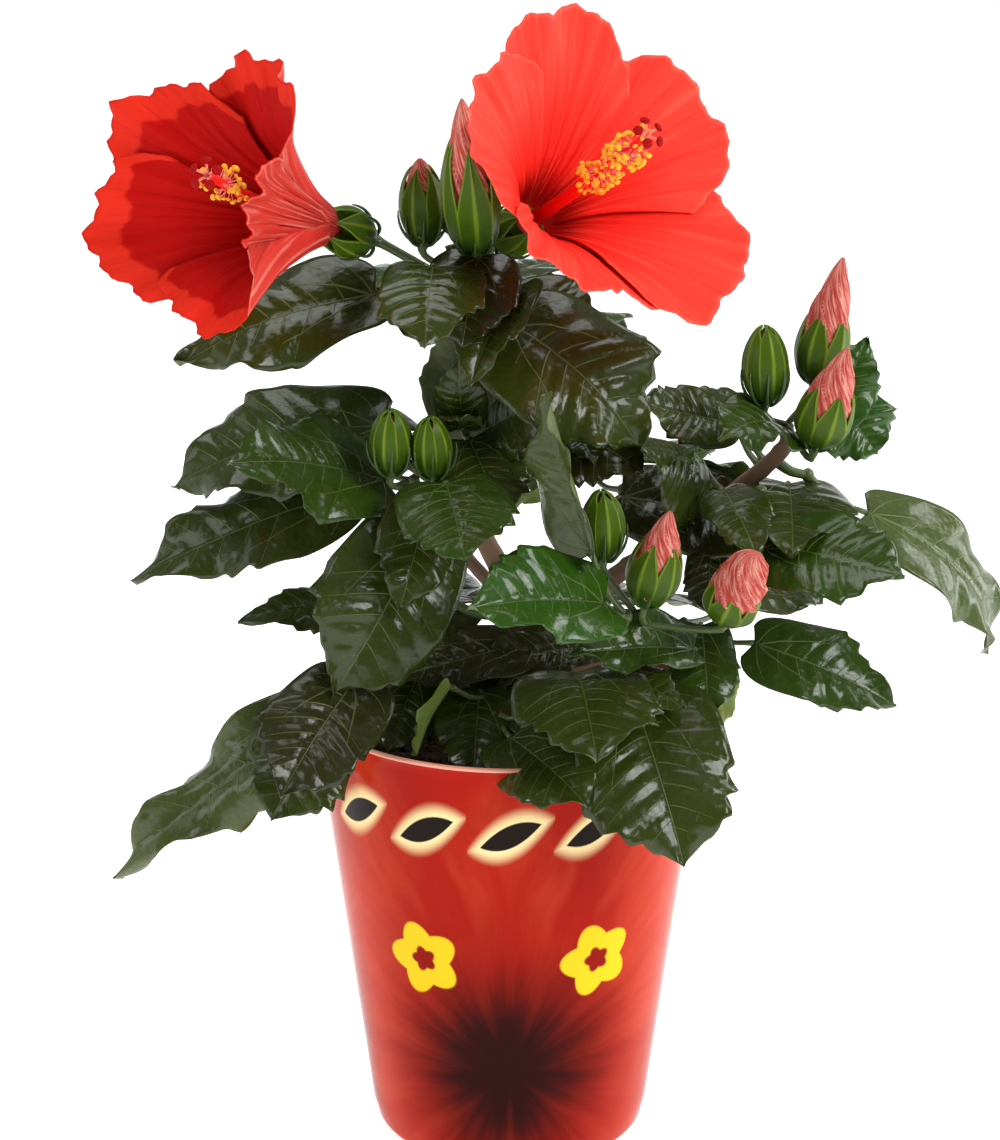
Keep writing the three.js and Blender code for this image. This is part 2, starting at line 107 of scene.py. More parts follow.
def bell(u: Array | float, rise: float, fall: float, foot: float = 0.0) -> Array:
    """Gives a width that grows from a foot, is 1 at its widest and closes at its tip.

    Args:
        u: Places from 0 at the foot to 1 at the tip.
        rise: Power of the growth from the foot.
        fall: Power of the closing to the tip.
        foot: How far the width has already grown at the foot.

    Returns:
        The width at each place.
    """
    u = np.asarray(u, float)
    widest = (rise - fall * foot) / (rise + fall)
    top = (widest + foot) ** rise * (1 - widest) ** fall
    return (u + foot) ** rise * np.clip(1 - u, 0, 1) ** fall / top


def curve(points: list[Point], steps: int) -> Array:
    """Runs a smooth curve through points.

    Args:
        points: The points, in order.
        steps: Number of places along the curve.

    Returns:
        Places along the curve, evenly spread, one row each.
    """
    given = np.array(points, float)
    if len(given) == 2:
        return given[0] + (given[1] - given[0]) * np.linspace(0, 1, steps)[:, None]
    ends = np.vstack([2 * given[0] - given[1], given, 2 * given[-1] - given[-2]])
    fine = []
    for a, b, c, d in zip(ends, ends[1:], ends[2:], ends[3:]):
        t = np.linspace(0, 1, CURVE_STEPS, endpoint=False)[:, None]
        square, cube = 2 * a - 5 * b + 4 * c - d, 3 * b - a - 3 * c + d
        fine.append(0.5 * (2 * b + (c - a) * t + square * t**2 + cube * t**3))
    fine = np.vstack([*fine, given[-1:]])
    reach = np.concatenate([[0], np.cumsum(np.linalg.norm(np.diff(fine, axis=0), axis=1))])
    even = np.linspace(0, reach[-1], steps)
    return np.column_stack([np.interp(even, reach, fine[:, k]) for k in range(3)])


# ---- meshes --------------------------------------------------------------------------------------------


def placed(name: str, data: bpy.types.ID) -> bpy.types.Object:
    """Makes an object of a mesh, a light or a camera and puts it in the scene.

    Args:
        name: Its name.
        data: The mesh, light or camera.

    Returns:
        The object.
    """
    thing = bpy.data.objects.new(name, data)
    bpy.context.scene.collection.objects.link(thing)
    return thing


def mark_points(mesh: bpy.types.Mesh, vectors: Array) -> None:
    """Gives each point of a mesh a vector, which materials and trees can read."""
    mark = mesh.attributes.new(PLACE, "FLOAT_VECTOR", "POINT")
    mark.data.foreach_set("vector", vectors.astype(np.float32).ravel())


class Shape:
    """Gathers many small pieces, which then become one mesh."""

    def __init__(self) -> None:
        """Starts empty."""
        self.points: list[Array] = []
        self.places: list[Array] = []
        self.faces: list[tuple[Array, Array]] = []
        self.finishes: list[Finish] = []
        self.count = 0

    def slot_of(self, finish: Finish) -> int:
        """Gives the number of a finish on this shape, adding it at its first use."""
        if finish not in self.finishes:
            self.finishes.append(finish)
        return self.finishes.index(finish)

    def add(self, points: Array, faces: Array, slots: Array | int, places: Array | None = None) -> None:
        """Adds points and the faces between them.

        Args:
            points: Points in millimetres, one row each.
            faces: Corners of each face, counted from the first of `points`.
            slots: Slot of each face, or one for all.
            places: A vector for each point, which a material can read.
        """
        self.faces.append((faces + self.count, np.broadcast_to(slots, len(faces))))
        self.points.append(points)
        self.places.append(np.zeros_like(points) if places is None else places)
        self.count += len(points)

    def rings(
        self, rows: Array, slots: Array | int, places: Array | None = None, closed: bool = True
    ) -> None:
        """Adds a skin over rings of points.

        Args:
            rows: Rings of points, in order, each counter-clockwise as seen from ahead.
            slots: One slot for all, one for each face round a ring, or a column with one for each gap
                between rings.
            places: A vector for each point of each ring.
            closed: Whether a fan closes each end.
        """
        n, m = rows.shape[:2]
        index = np.arange(n * m).reshape(n, m)
        turned = np.roll(index, -1, axis=1)
        sides = np.stack([index[:-1], turned[:-1], turned[1:], index[1:]], axis=-1).reshape(-1, 4)
        strip = np.broadcast_to(slots, (n - 1, m)).ravel()
        self.add(rows.reshape(-1, 3), sides, strip, None if places is None else places.reshape(-1, 3))
        if not closed:
            return
        first = self.count - n * m
        hub = np.zeros(m, int)
        for row, forward, slot in ((0, False, strip[0]), (n - 1, True, strip[-1])):
            middle = rows[row].mean(0)[None]
            ring, after = first + index[row] - self.count, first + turned[row] - self.count
            fan = np.stack([ring, after, hub] if forward else [after, ring, hub], axis=-1)
            mark = None if places is None else places[row].mean(0)[None]
            self.add(middle, fan, slot, mark)

    def tube(
        self, path: Array, radii: Array, sides: int, finish: Finish, places: Array | None = None
    ) -> None:
        """Adds a round rod along a path.

        Args:
            path: Places along the rod's middle.
            radii: Radius at each place, or at each corner of each ring.
            sides: Corners of a ring.
            finish: What it is made of.
            places: A vector for each point of each ring.
        """
        along = unit(np.gradient(path, axis=0))
        first = np.cross(along[0], SKY if abs(along[0][2]) < 0.9 else np.array([1.0, 0, 0]))
        across = [first / np.linalg.norm(first)]
        for t in along[1:]:
            turned = across[-1] - t * (across[-1] @ t)
            across.append(turned / np.linalg.norm(turned))
        across = np.array(across)[:, None]
        over = np.cross(along[:, None], across)
        angle = np.arange(sides) * 2 * np.pi / sides
        given = np.asarray(radii, float).reshape(len(path), -1)
        reach = np.broadcast_to(given, (len(path), sides))[..., None]
        spokes = np.cos(angle)[None, :, None] * across + np.sin(angle)[None, :, None] * over
        self.rings(path[:, None] + reach * spokes, self.slot_of(finish), places)

    def plate(
        self, face: Array, depth: Array | float, top: Finish, under: Finish, places: Array | None = None
    ) -> None:
        """Adds a thin blade with two faces and an edge all round.

        Args:
            face: The upper face, rows along it and columns across it from right to left.
            depth: How far the under face lies below it.
            top: Finish of the upper face and the edge.
            under: Finish of the under face.
            places: A vector for each point of the upper face.
        """
        normal = unit(np.cross(np.gradient(face, axis=0), np.gradient(face, axis=1)))
        low = face - normal * np.broadcast_to(np.asarray(depth, float), face.shape[:2])[..., None]
        ring = np.concatenate([low, face[:, ::-1]], axis=1)
        rows, columns = face.shape[:2]
        slots = np.full(2 * columns, self.slot_of(top))
        slots[: columns - 1] = self.slot_of(under)
        marks = None if places is None else np.concatenate([places, places[:, ::-1]], axis=1)
        self.rings(ring, slots, marks, closed=False)
        c = np.arange(columns - 1)
        cap = np.stack([c, c + 1, 2 * columns - 2 - c, 2 * columns - 1 - c], axis=-1)
        first = -2 * columns * rows
        ends = np.concatenate([cap[:, ::-1] + first, cap - 2 * columns])
        self.add(np.zeros((0, 3)), ends, self.slot_of(top))

    def ridge(
        self, path: Array, normal: Array, wide: Array, above: float, below: float, finish: Finish
    ) -> None:
        """Adds a rib with a low diamond section, which stands out on both faces of a blade.

        Args:
            path: Places along the rib, on the blade's upper face.
            normal: The face's normal at each place.
            wide: Half the rib's width at each place.
            above: How far it stands above the face, as a share of that.
            below: How far it reaches below the face, as a share of that.
            finish: What it is made of.
        """
        along = unit(np.gradient(path, axis=0))
        side = unit(np.cross(along, normal)) * wide[:, None]
        up = normal * wide[:, None]
        section = [path + up * above, path + side, path - up * below, path - side]
        self.rings(np.stack(section, axis=1), self.slot_of(finish))

    def build(self, name: str) -> bpy.types.Object:
        """Makes the mesh and its object.

        Args:
            name: Name of both.

        Returns:
            The object, at the origin, in metres.
        """
        mesh = bpy.data.meshes.new(name)
        points = np.vstack(self.points) * MM
        totals = np.concatenate([np.full(len(f), f.shape[1]) for f, _ in self.faces])
        corners = np.concatenate([f.ravel() for f, _ in self.faces])
        slots = np.concatenate([s for _, s in self.faces])
        mesh.vertices.add(len(points))
        mesh.vertices.foreach_set("co", points.astype(np.float32).ravel())
        mesh.loops.add(len(corners))
        mesh.loops.foreach_set("vertex_index", corners.astype(np.int32))
        mesh.polygons.add(len(totals))
        mesh.polygons.foreach_set("loop_start", (np.cumsum(totals) - totals).astype(np.int32))
        mesh.polygons.foreach_set("material_index", slots.astype(np.int32))
        mesh.polygons.foreach_set("use_smooth", np.ones(len(totals), bool))
        mesh.update(calc_edges=True)
        mark_points(mesh, np.vstack(self.places))
        for finish in self.finishes:
            mesh.materials.append(finish.material())
        return placed(name, mesh)


def settle(piece: bpy.types.Object, slot: str, *nodes: str) -> None:
    """Ties a finished piece to the frame.

    Args:
        piece: The piece.
        slot: The record's material slot; not used.
        nodes: Solids that it stands for.
    """
    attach(piece, ROOT)
    if nodes:
        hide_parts(*nodes)
    LOG.info("%s: %d faces", piece.name, len(piece.data.polygons))


# ---- shader nodes --------------------------------------------------------------------------------------


class Value:
    """A shader socket that holds a number, for ordinary arithmetic."""

    def __init__(self, nodes: Nodes, socket: bpy.types.NodeSocket) -> None:
        """Keeps the socket and the tree that it belongs to."""
        self.nodes, self.socket = nodes, socket

    def math(self, operation: str, *operands: Value | float) -> Value:
        """Adds one Math node on these operands."""
        node = self.nodes.add("ShaderNodeMath", {"operation": operation}, enumerate(operands))
        return Value(self.nodes, node.outputs[0])

    def __add__(self, other: Value | float) -> Value:
        """Adds."""
        return self.math("ADD", self, other)

    def __sub__(self, other: Value | float) -> Value:
        """Subtracts."""
        return self.math("SUBTRACT", self, other)

    def __rsub__(self, other: float) -> Value:
        """Subtracts from a number."""
        return self.math("SUBTRACT", other, self)

    def __mul__(self, other: Value | float) -> Value:
        """Multiplies."""
        return self.math("MULTIPLY", self, other)

    def __pow__(self, other: float) -> Value:
        """Raises to a power."""
        return self.math("POWER", self, other)

    __radd__ = __add__
    __rmul__ = __mul__

    def sine(self) -> Value:
        """Takes the sine."""
        return self.math("SINE", self)

    def size(self) -> Value:
        """Takes the absolute value."""
        return self.math("ABSOLUTE", self)

    def part(self) -> Value:
        """Takes what is left above a whole number, from 0 to 1."""
        return self.math("FRACT", self)

    def between(self, low: float, high: float) -> Value:
        """Rises smoothly from 0 at `low` to 1 at `high`."""
        inputs = {"Value": self, "From Min": low, "From Max": high}
        node = self.nodes.add("ShaderNodeMapRange", {"interpolation_type": "SMOOTHSTEP"}, inputs.items())
        return Value(self.nodes, node.outputs["Result"])


class Nodes:
    """A material's node tree, round one Principled shader."""

    def __init__(self, name: str) -> None:
        """Starts a material with its shader and output.

        Args:
            name: Name of the material.
        """
        self.material = bpy.data.materials.new(name)
        self.material.use_nodes = True
        self.tree = self.material.node_tree
        self.shader = next(n for n in self.tree.nodes if n.type == "BSDF_PRINCIPLED")

    def add(self, kind: str, settings: dict | None = None, inputs: object = ()) -> bpy.types.ShaderNode:
        """Adds a node.

        Args:
            kind: The node's type.
            settings: Its own settings, such as a Math node's operation.
            inputs: Pairs of a socket's name or number and its value or link.

        Returns:
            The node.
        """
        node = self.tree.nodes.new(kind)
        for key, value in (settings or {}).items():
            setattr(node, key, value)
        for key, value in inputs:
            self.feed(node.inputs[key], value)
        return node

    def feed(self, socket: bpy.types.NodeSocket, value: object) -> None:
        """Links a socket to another, or sets its value."""
        if isinstance(value, Value):
            value = value.socket
        if isinstance(value, bpy.types.NodeSocket):
            self.tree.links.new(value, socket)
        elif isinstance(value, tuple) and socket.type == "RGBA":
            socket.default_value = (*value, 1)
        else:
            socket.default_value = value

    def parts(self, vector: bpy.types.NodeSocket) -> list[Value]:
        """Gives the three numbers of a vector."""
        node = self.add("ShaderNodeSeparateXYZ", None, [(0, vector)])
        return [Value(self, socket) for socket in node.outputs]

    def place(self) -> list[Value]:
        """Reads the three numbers that a piece's points carry."""
        node = self.add("ShaderNodeAttribute", {"attribute_name": PLACE, "attribute_type": "GEOMETRY"})
        return self.parts(node.outputs["Vector"])

    def spot(self) -> bpy.types.NodeSocket:
        """Reads the place on the object."""
        return self.add("ShaderNodeTexCoord").outputs["Object"]

    def joined(self, *parts: Value | float) -> bpy.types.NodeSocket:
        """Makes a vector of three numbers."""
        return self.add("ShaderNodeCombineXYZ", None, enumerate(parts)).outputs[0]

    def noise(
        self, where: bpy.types.NodeSocket, scale: float, detail: float = 3, roughness: float = 0.55
    ) -> Value:
        """Gives cloudy noise from 0 to 1 at a place."""
        inputs = {"Vector": where, "Scale": scale, "Detail": detail, "Roughness": roughness}
        return Value(self, self.add("ShaderNodeTexNoise", None, inputs.items()).outputs[0])

    def cells(self, where: bpy.types.NodeSocket, scale: float) -> Value:
        """Gives the distance to the middle of the nearest grain."""
        inputs = {"Vector": where, "Scale": scale}
        return Value(self, self.add("ShaderNodeTexVoronoi", None, inputs.items()).outputs[0])

    def mix(self, share: Value | float, first: object, second: object) -> bpy.types.NodeSocket:
        """Mixes two colours; the node's colour sockets are the numbers 6 and 7, and 2 on the way out."""
        node = self.add("ShaderNodeMix", {"data_type": "RGBA"}, [(0, share), (6, first), (7, second)])
        return node.outputs[2]

    def relief(self, height: Value, depth: float) -> None:
        """Turns a height from 0 to 1 into relief of this depth, in millimetres."""
        inputs = {"Height": height, "Distance": depth * MM, "Strength": 1.0}
        self.finish(Normal=self.add("ShaderNodeBump", None, inputs.items()).outputs[0])

    def finish(self, **sockets: object) -> None:
        """Sets or links the shader's sockets; an underscore stands for a space."""
        for key, value in sockets.items():
            self.feed(self.shader.inputs[key.replace("_", " ")], value)


# ---- finishes ------------------------------------------------------------------------------------------


@dataclass(frozen=True)
class Finish:
    """A surface of one colour with a fine grain. Others build on it.

    `grain` is how many grains there are in a metre, where a finish has them. `relief` is how deep its
    relief is, in millimetres, and `shine` is the shader's specular level.
    """

    name: str
    colour: Colour
    roughness: float = 0.5
    coat: float = 0.0
    grain: float = 900.0
    relief: float = 0.1
    shine: float = 0.5
    glow: float = 0.0

    COAT_ROUGHNESS = 0.12

    def material(self) -> bpy.types.Material:
        """Gives the material, made at its first use.

        Returns:
            The material.
        """
        made = bpy.data.materials.get(self.name)
        if made:
            return made
        nodes = Nodes(self.name)
        nodes.finish(Base_Color=self.colour, Roughness=self.roughness, Specular_IOR_Level=self.shine)
        nodes.finish(Coat_Weight=self.coat, Coat_Roughness=self.COAT_ROUGHNESS)
        if self.glow:
            nodes.finish(Emission_Color=(1.0, 1.0, 1.0), Emission_Strength=self.glow)
        self.dress(nodes)
        return nodes.material

    def dress(self, nodes: Nodes) -> None:
        """Adds the grain's relief and its change of gloss.

        Args:
            nodes: The material's nodes.
        """
        cloud = nodes.noise(nodes.spot(), self.grain)
        nodes.finish(Roughness=(cloud - 0.5) * 0.25 + self.roughness)
        nodes.relief(cloud, self.relief)


@dataclass(frozen=True)
class BladeFinish(Finish):
    """A leaf's glossy upper face, quilted between its smallest veins."""

    def dress(self, nodes: Nodes) -> None:
        """Adds the quilting and a change of gloss.

        Args:
            nodes: The material's nodes.
        """
        spot = nodes.spot()
        cloud = nodes.noise(spot, 110, 3, 0.6)
        nodes.finish(Roughness=cloud.between(0.3, 0.75) * 0.2 + self.roughness)
        nodes.relief(nodes.cells(spot, self.grain) * 0.55 + cloud, self.relief)


@dataclass(frozen=True, kw_only=True)
class PetalFinish(Finish):
    """A petal's face: a deep throat, an inner field, an outer field, veins that fan from the throat,
    and a painted highlight along the rim that stands in for light shining through the thin margin.

    `border` is how far along the petal the outer field starts, and `softness` half the width of that
    change. On the crimson bloom the dark inner field is painted shadow: the shade that the bloom's own
    rims cast over its middle.
    """

    inner: Colour
    throat: Colour
    vein: Colour
    border: float
    softness: float
    vein_share: float

    THROAT_END = 0.34
    # Where the painted highlight along the rim starts: a pale edge standing in for light through the thin
    # margin.
    RIM_HIGHLIGHT_START = 0.97

    def dress(self, nodes: Nodes) -> None:
        """Runs the colours from the throat to the rim, lays the veins over them, and paints a pale highlight
        along the rim.

        Args:
            nodes: The material's nodes.
        """
        along, across, number = nodes.place()
        streaks = nodes.noise(nodes.joined(along * 1.6, across * 13, number * 7), 1.0, 4, 0.62)
        patches = nodes.noise(nodes.joined(along * 3, across * 2.4, number * 3), 1.0, 2)
        ripple = across * across * -0.1 + (across * 9 + number * 2).sine() * 0.015 + (patches - 0.5) * 0.06
        # Inner field: a deeper tone. On the crimson bloom it is painted shadow with a sharp edge, the shade
        # of the bloom's own rims over its middle.
        outer = (along + ripple).between(self.border - self.softness, self.border + self.softness)
        field = nodes.mix(outer, self.inner, self.colour)
        field = nodes.mix((along + (streaks - 0.5) * 0.3).between(self.THROAT_END, 0.1), field, self.throat)
        # Lighter veins, plus a painted highlight in the vein colour along the last of the rim, standing in
        # for light through the thin margin.
        veins_and_rim_highlight = streaks.between(0.5, 0.72) * self.vein_share + along.between(self.RIM_HIGHLIGHT_START, 1.0) * 0.4
        grooves = (1 - streaks.between(0.3, 0.46)) * self.vein_share
        nodes.finish(Base_Color=nodes.mix(grooves, nodes.mix(veins_and_rim_highlight, field, self.vein), self.throat))
        nodes.relief(streaks, self.relief)


@dataclass(frozen=True, kw_only=True)
class RollFinish(Finish):
    """Rolled petals in a bud, with pale down along their veins."""

    down: Colour

    def dress(self, nodes: Nodes) -> None:
        """Lays the down along lines that climb round the roll.

        Args:
            nodes: The material's nodes.
        """
        along, turn, fold = nodes.place()
        lines = nodes.noise(nodes.joined(along * 5, turn * 30 + along * 16, 0.0), 1.0, 4, 0.65)
        pale = lines.between(0.42, 0.66) * 0.75 + fold.between(0.84, 1.0) * 0.6
        nodes.finish(Base_Color=nodes.mix(pale, self.colour, self.down))
        nodes.relief(lines, self.relief)


@dataclass(frozen=True, kw_only=True)
class SepalFinish(Finish):
    """A green sepal: lighter along its ribs and its edges, darker at its foot."""

    light: Colour
    dark: Colour

    def dress(self, nodes: Nodes) -> None:
        """Runs the colour along the sepal and over its ribs.

        Args:
            nodes: The material's nodes.
        """
        along, across, _ = nodes.place()
        cloud = nodes.noise(nodes.spot(), 260, 3)
        rib = 1 - across.size().between(0.03, 0.2)
        edge = across.size().between(0.82, 1.0)
        field = nodes.mix((along + (cloud - 0.5) * 0.5).between(0.0, 0.55), self.dark, self.colour)
        nodes.finish(Base_Color=nodes.mix((rib + edge) * 0.6 * along.between(0.0, 0.5), field, self.light))
        nodes.relief(cloud, self.relief)


@dataclass(frozen=True, kw_only=True)
class BarkFinish(Finish):
    """Thin bark: green-brown on young wood, grey-brown on old, with fine fissures."""

    old: Colour
    crack: Colour

    def dress(self, nodes: Nodes) -> None:
        """Runs the colour from young wood to old and darkens the fissures.

        Args:
            nodes: The material's nodes.
        """
        along, turn, age = nodes.place()
        cloud = nodes.noise(nodes.spot(), 220, 4, 0.6)
        fissures = nodes.noise(nodes.joined(along * 0.12, turn * 16, 0.0), 1.0, 4, 0.7)
        field = nodes.mix((age + (cloud - 0.5) * 0.6).between(0.2, 0.8), self.colour, self.old)
        nodes.finish(Base_Color=nodes.mix(fissures.between(0.52, 0.36) * 0.75, field, self.crack))
        nodes.relief(fissures + cloud * 0.6, self.relief)


@dataclass(frozen=True, kw_only=True)
class PrintFinish(Finish):
    """The pot's glossy print: red streaks that spread from dark hearts, and two rings of motifs.

    Heights are shares of the pot's own.
    """

    deep: Colour
    dark: Colour
    pale: Colour
    cream: Colour
    ink: Colour
    yellow: Colour

    HEARTS = 3
    HEART_TURN = 0.25
    HEART_HEIGHT = 0.26
    HEART_STRETCH = 2.6
    BLOSSOMS = 6
    BLOSSOM_HEIGHT = 0.52
    BLOSSOM_SIZE = (0.23, 0.092)
    LEAFLETS = 14
    LEAFLET_HEIGHT = 0.84
    LEAFLET_SIZE = (0.4, 0.036)

    @staticmethod
    def ring(
        turn: Value, height: Value, count: int, middle: float, size: tuple[float, float]
    ) -> tuple[Value, Value]:
        """Measures a place from the middle of the nearest motif in a ring round the pot.

        Args:
            turn: Place round the pot, from 0 to 1.
            height: Place up the pot, from 0 to 1.
            count: Motifs in the ring.
            middle: Height of the ring.
            size: Half-width, as a share of the motif's room, and half-height.

        Returns:
            How far it lies across and up, in half-widths and half-heights.
        """
        return ((turn * count).part() - 0.5) * (1 / size[0]), (height - middle) * (1 / size[1])

    def blossom(self, turn: Value, height: Value) -> Value:
        """Gives 0 at the middle of the nearest five-lobed blossom, and 1 at its edge.

        Args:
            turn: Place round the pot, from 0 to 1.
            height: Place up the pot, from 0 to 1.

        Returns:
            How far out it lies from the motif's middle.
        """
        turned = turn + 0.5 / self.BLOSSOMS
        x, y = self.ring(turned, height, self.BLOSSOMS, self.BLOSSOM_HEIGHT, self.BLOSSOM_SIZE)
        lobe = (x.math("ARCTAN2", y, x) * 2.5).sine().size()
        return (x * x + y * y) ** 0.5 * (1.42 - lobe * 0.42)

    def leaflet(self, turn: Value, height: Value) -> Value:
        """Gives 0 at the middle of the nearest slanting leaflet, and 1 at its edge.

        Args:
            turn: Place round the pot, from 0 to 1.
            height: Place up the pot, from 0 to 1.

        Returns:
            How far out it lies from the motif's middle.
        """
        x, y = self.ring(turn, height, self.LEAFLETS, self.LEAFLET_HEIGHT, self.LEAFLET_SIZE)
        return x * x + (y - x * 0.9).size()

    def dress(self, nodes: Nodes) -> None:
        """Lays the ground, the streaks, the dark hearts and the motifs.

        Args:
            nodes: The material's nodes.
        """
        spot = nodes.spot()
        across, back, _ = nodes.parts(spot)
        turn = (back.math("ARCTAN2", back, across) * (0.5 / math.pi)).part()
        height = nodes.place()[1]
        cloud = nodes.noise(spot, 22, 3)
        aside = ((turn * self.HEARTS + self.HEART_TURN).part() - 0.5) * 2
        above = (height - self.HEART_HEIGHT) * self.HEART_STRETCH
        angle = aside.size().math("ARCTAN2", aside.size(), above)
        reach = (aside * aside + above * above) ** 0.5
        streaks = nodes.noise(nodes.joined(angle * 3.5 + cloud * 0.8, reach * 0.7, 0.0), 1.0, 5, 0.6)
        glow = streaks.between(0.4, 0.75) * 0.45 + aside.size().between(0.4, 1.0) * 0.3
        shade = (cloud * 0.5 - reach * 0.3 + streaks * 0.5).between(0.1, 0.5) * 0.7
        ground = nodes.mix(shade, nodes.mix(glow, self.colour, self.pale), self.deep)
        patch = 1 - (reach + (streaks - 0.5) * 0.6 + (cloud - 0.5) * 0.4).between(0.2, 0.95)
        ground = nodes.mix(patch * 0.95, ground, self.dark)
        leaflet, blossom = self.leaflet(turn, height), self.blossom(turn, height)
        ground = nodes.mix(1 - leaflet.between(0.8, 1.9), ground, self.cream)
        ground = nodes.mix(1 - leaflet.between(0.72, 0.82), ground, self.ink)
        ground = nodes.mix(1 - blossom.between(0.92, 1.0), ground, self.yellow)
        ground = nodes.mix(1 - blossom.between(0.3, 0.38), ground, self.deep)
        nodes.finish(Base_Color=ground, Roughness=streaks * 0.1 + (self.roughness - 0.05))
        nodes.relief(nodes.noise(spot, 60, 2), self.relief)


@dataclass(frozen=True, kw_only=True)
class EarthFinish(Finish):
    """Damp peat, mottled dark and light."""

    light: Colour

    def dress(self, nodes: Nodes) -> None:
        """Mottles the colour and roughens the surface.

        Args:
            nodes: The material's nodes.
        """
        spot = nodes.spot()
        cloud = nodes.noise(spot, 240, 6, 0.7)
        nodes.finish(Base_Color=nodes.mix(cloud.between(0.45, 0.7), self.colour, self.light))
        nodes.relief(cloud + nodes.cells(spot, 500) * 0.6, self.relief)


class Tint(Enum):
    """The tints that leaves are dealt, from the oldest to the youngest. Among them is one paler grey-green
    that is painted sheen, the gleam of grazing light on a leaf, and not an age.
    """

    DEEP = Finish("leaf_deep", hue(0x26280A))
    DARK = Finish("leaf_dark", hue(0x2E380C))
    GREEN = Finish("leaf_green", hue(0x2A3E0C))
    BRIGHT = Finish("leaf_bright", hue(0x284A0C))
    # Painted sheen: a paler grey-green standing in for the gleam of grazing light on a leaf.
    PALE = Finish("leaf_pale", hue(0x465228))
    YOUNG = Finish("leaf_young", hue(0x6A8028))

    def face(self) -> Finish:
        """Gives the upper face's finish."""
        name, colour = self.value.name, self.value.colour
        return BladeFinish(name, colour, roughness=0.22, coat=0.36, grain=420, relief=0.5, shine=0.16)

    def under(self) -> Finish:
        """Gives the finish of the paler, duller under face."""
        pale = tuple(0.62 * c + 0.38 * p for c, p in zip(self.value.colour, hue(0x70804A)))
        return Finish(self.value.name + "_under", pale, grain=700, relief=0.15)

    def vein(self) -> Finish:
        """Gives the finish of the veins, lighter than the face."""
        light = tuple(0.68 * c + 0.32 * p for c, p in zip(self.value.colour, hue(0x70803A)))
        return Finish(self.value.name + "_vein", light, roughness=0.4, relief=0.08)


STALK_GREEN = Finish("stalk_green", hue(0x4A5A2A), coat=0.1, grain=600, relief=0.12)
BARK = BarkFinish(
    "bark", hue(0x3E401E), roughness=0.75, relief=0.5, shine=0.2, old=hue(0x5A4A2C), crack=hue(0x1E160C),
)
SEPAL = SepalFinish(
    "sepal", hue(0x3E560A), roughness=0.42, coat=0.04, relief=0.14, shine=0.14,
    light=hue(0x7C9424), dark=hue(0x203A0A),
)
SEPAL_INSIDE = Finish("sepal_inside", hue(0x6F9A3A), grain=500)
BRACT = Finish("bract", hue(0x38521E), roughness=0.45, coat=0.1, grain=500)
ROLL = RollFinish(
    "rolled_petal", hue(0xA8362C), roughness=0.6, relief=0.3, shine=0.15, down=hue(0xE0A090),
)
SCARLET_FACE = PetalFinish(
    "petal_scarlet", hue(0xF8382A), roughness=0.55, relief=0.6, shine=0.12,
    inner=hue(0xEE261A), throat=hue(0xA00404), vein=hue(0xFF6450),
    border=0.55, softness=0.3, vein_share=0.34,
)
SCARLET_BACK = PetalFinish(
    "petal_scarlet_back", hue(0xE83A2E), roughness=0.6, relief=0.35, shine=0.12,
    inner=hue(0xD82E28), throat=hue(0xC03A32), vein=hue(0xF48070),
    border=0.5, softness=0.3, vein_share=0.5,
)
# The dark inner field, with its sharp edge, is painted shadow: the shade that the bloom's own rims cast over
# its middle.
CRIMSON_FACE = PetalFinish(
    "petal_crimson", hue(0xDA2A18), roughness=0.6, relief=0.6, shine=0.08,
    inner=hue(0xB20602), throat=hue(0x680301), vein=hue(0xC81A0A),
    border=0.84, softness=0.015, vein_share=0.22,
)
CRIMSON_BACK = PetalFinish(
    "petal_crimson_back", hue(0xCE3A2E), roughness=0.6, relief=0.6, shine=0.1,
    inner=hue(0xC02C22), throat=hue(0x9A2018), vein=hue(0xF4A898),
    border=0.6, softness=0.3, vein_share=0.5,
)
COLUMN = Finish("column", hue(0xE81A12), grain=500, shine=0.2)
FILAMENT = Finish("filament", hue(0xF08070), grain=500, relief=0.05)
ANTHER = Finish("anther", hue(0xF2B014), roughness=0.7, grain=2600, relief=0.25)
STIGMA = Finish("stigma", hue(0x9C0C0C), roughness=0.85, grain=2400, relief=0.3, shine=0.1)
PRINT = PrintFinish(
    "pot_print", hue(0xA21607), roughness=0.15, relief=0.06, shine=0.06,
    deep=hue(0x8A1006), dark=hue(0x140604), pale=hue(0xD85030),
    cream=hue(0xF6DDA2), ink=hue(0x1C1410), yellow=hue(0xF2C21E),
)
POT_INSIDE = Finish("pot_inside", hue(0xC07A58), roughness=0.6, grain=200, relief=0.2)
POT_RIM = Finish("pot_rim", hue(0xE49C84), roughness=0.35, coat=0.1, grain=300, relief=0.05)
EARTH = EarthFinish("earth", hue(0x2A1C12), roughness=0.95, relief=1.2, light=hue(0x5A4028))
CRUMB = EarthFinish("crumb", hue(0x352317), roughness=0.95, relief=0.6, light=hue(0x6A4B30))
PERLITE = Finish("perlite", hue(0xE6E2D8), roughness=0.8, relief=0.3)
FLOOR = Finish("studio_floor", (0.93, 0.93, 0.93), roughness=0.9, grain=40, relief=0.05, glow=0.7)


# ---- repeats along surfaces ----------------------------------------------------------------------------

SCALE_SEED = 5


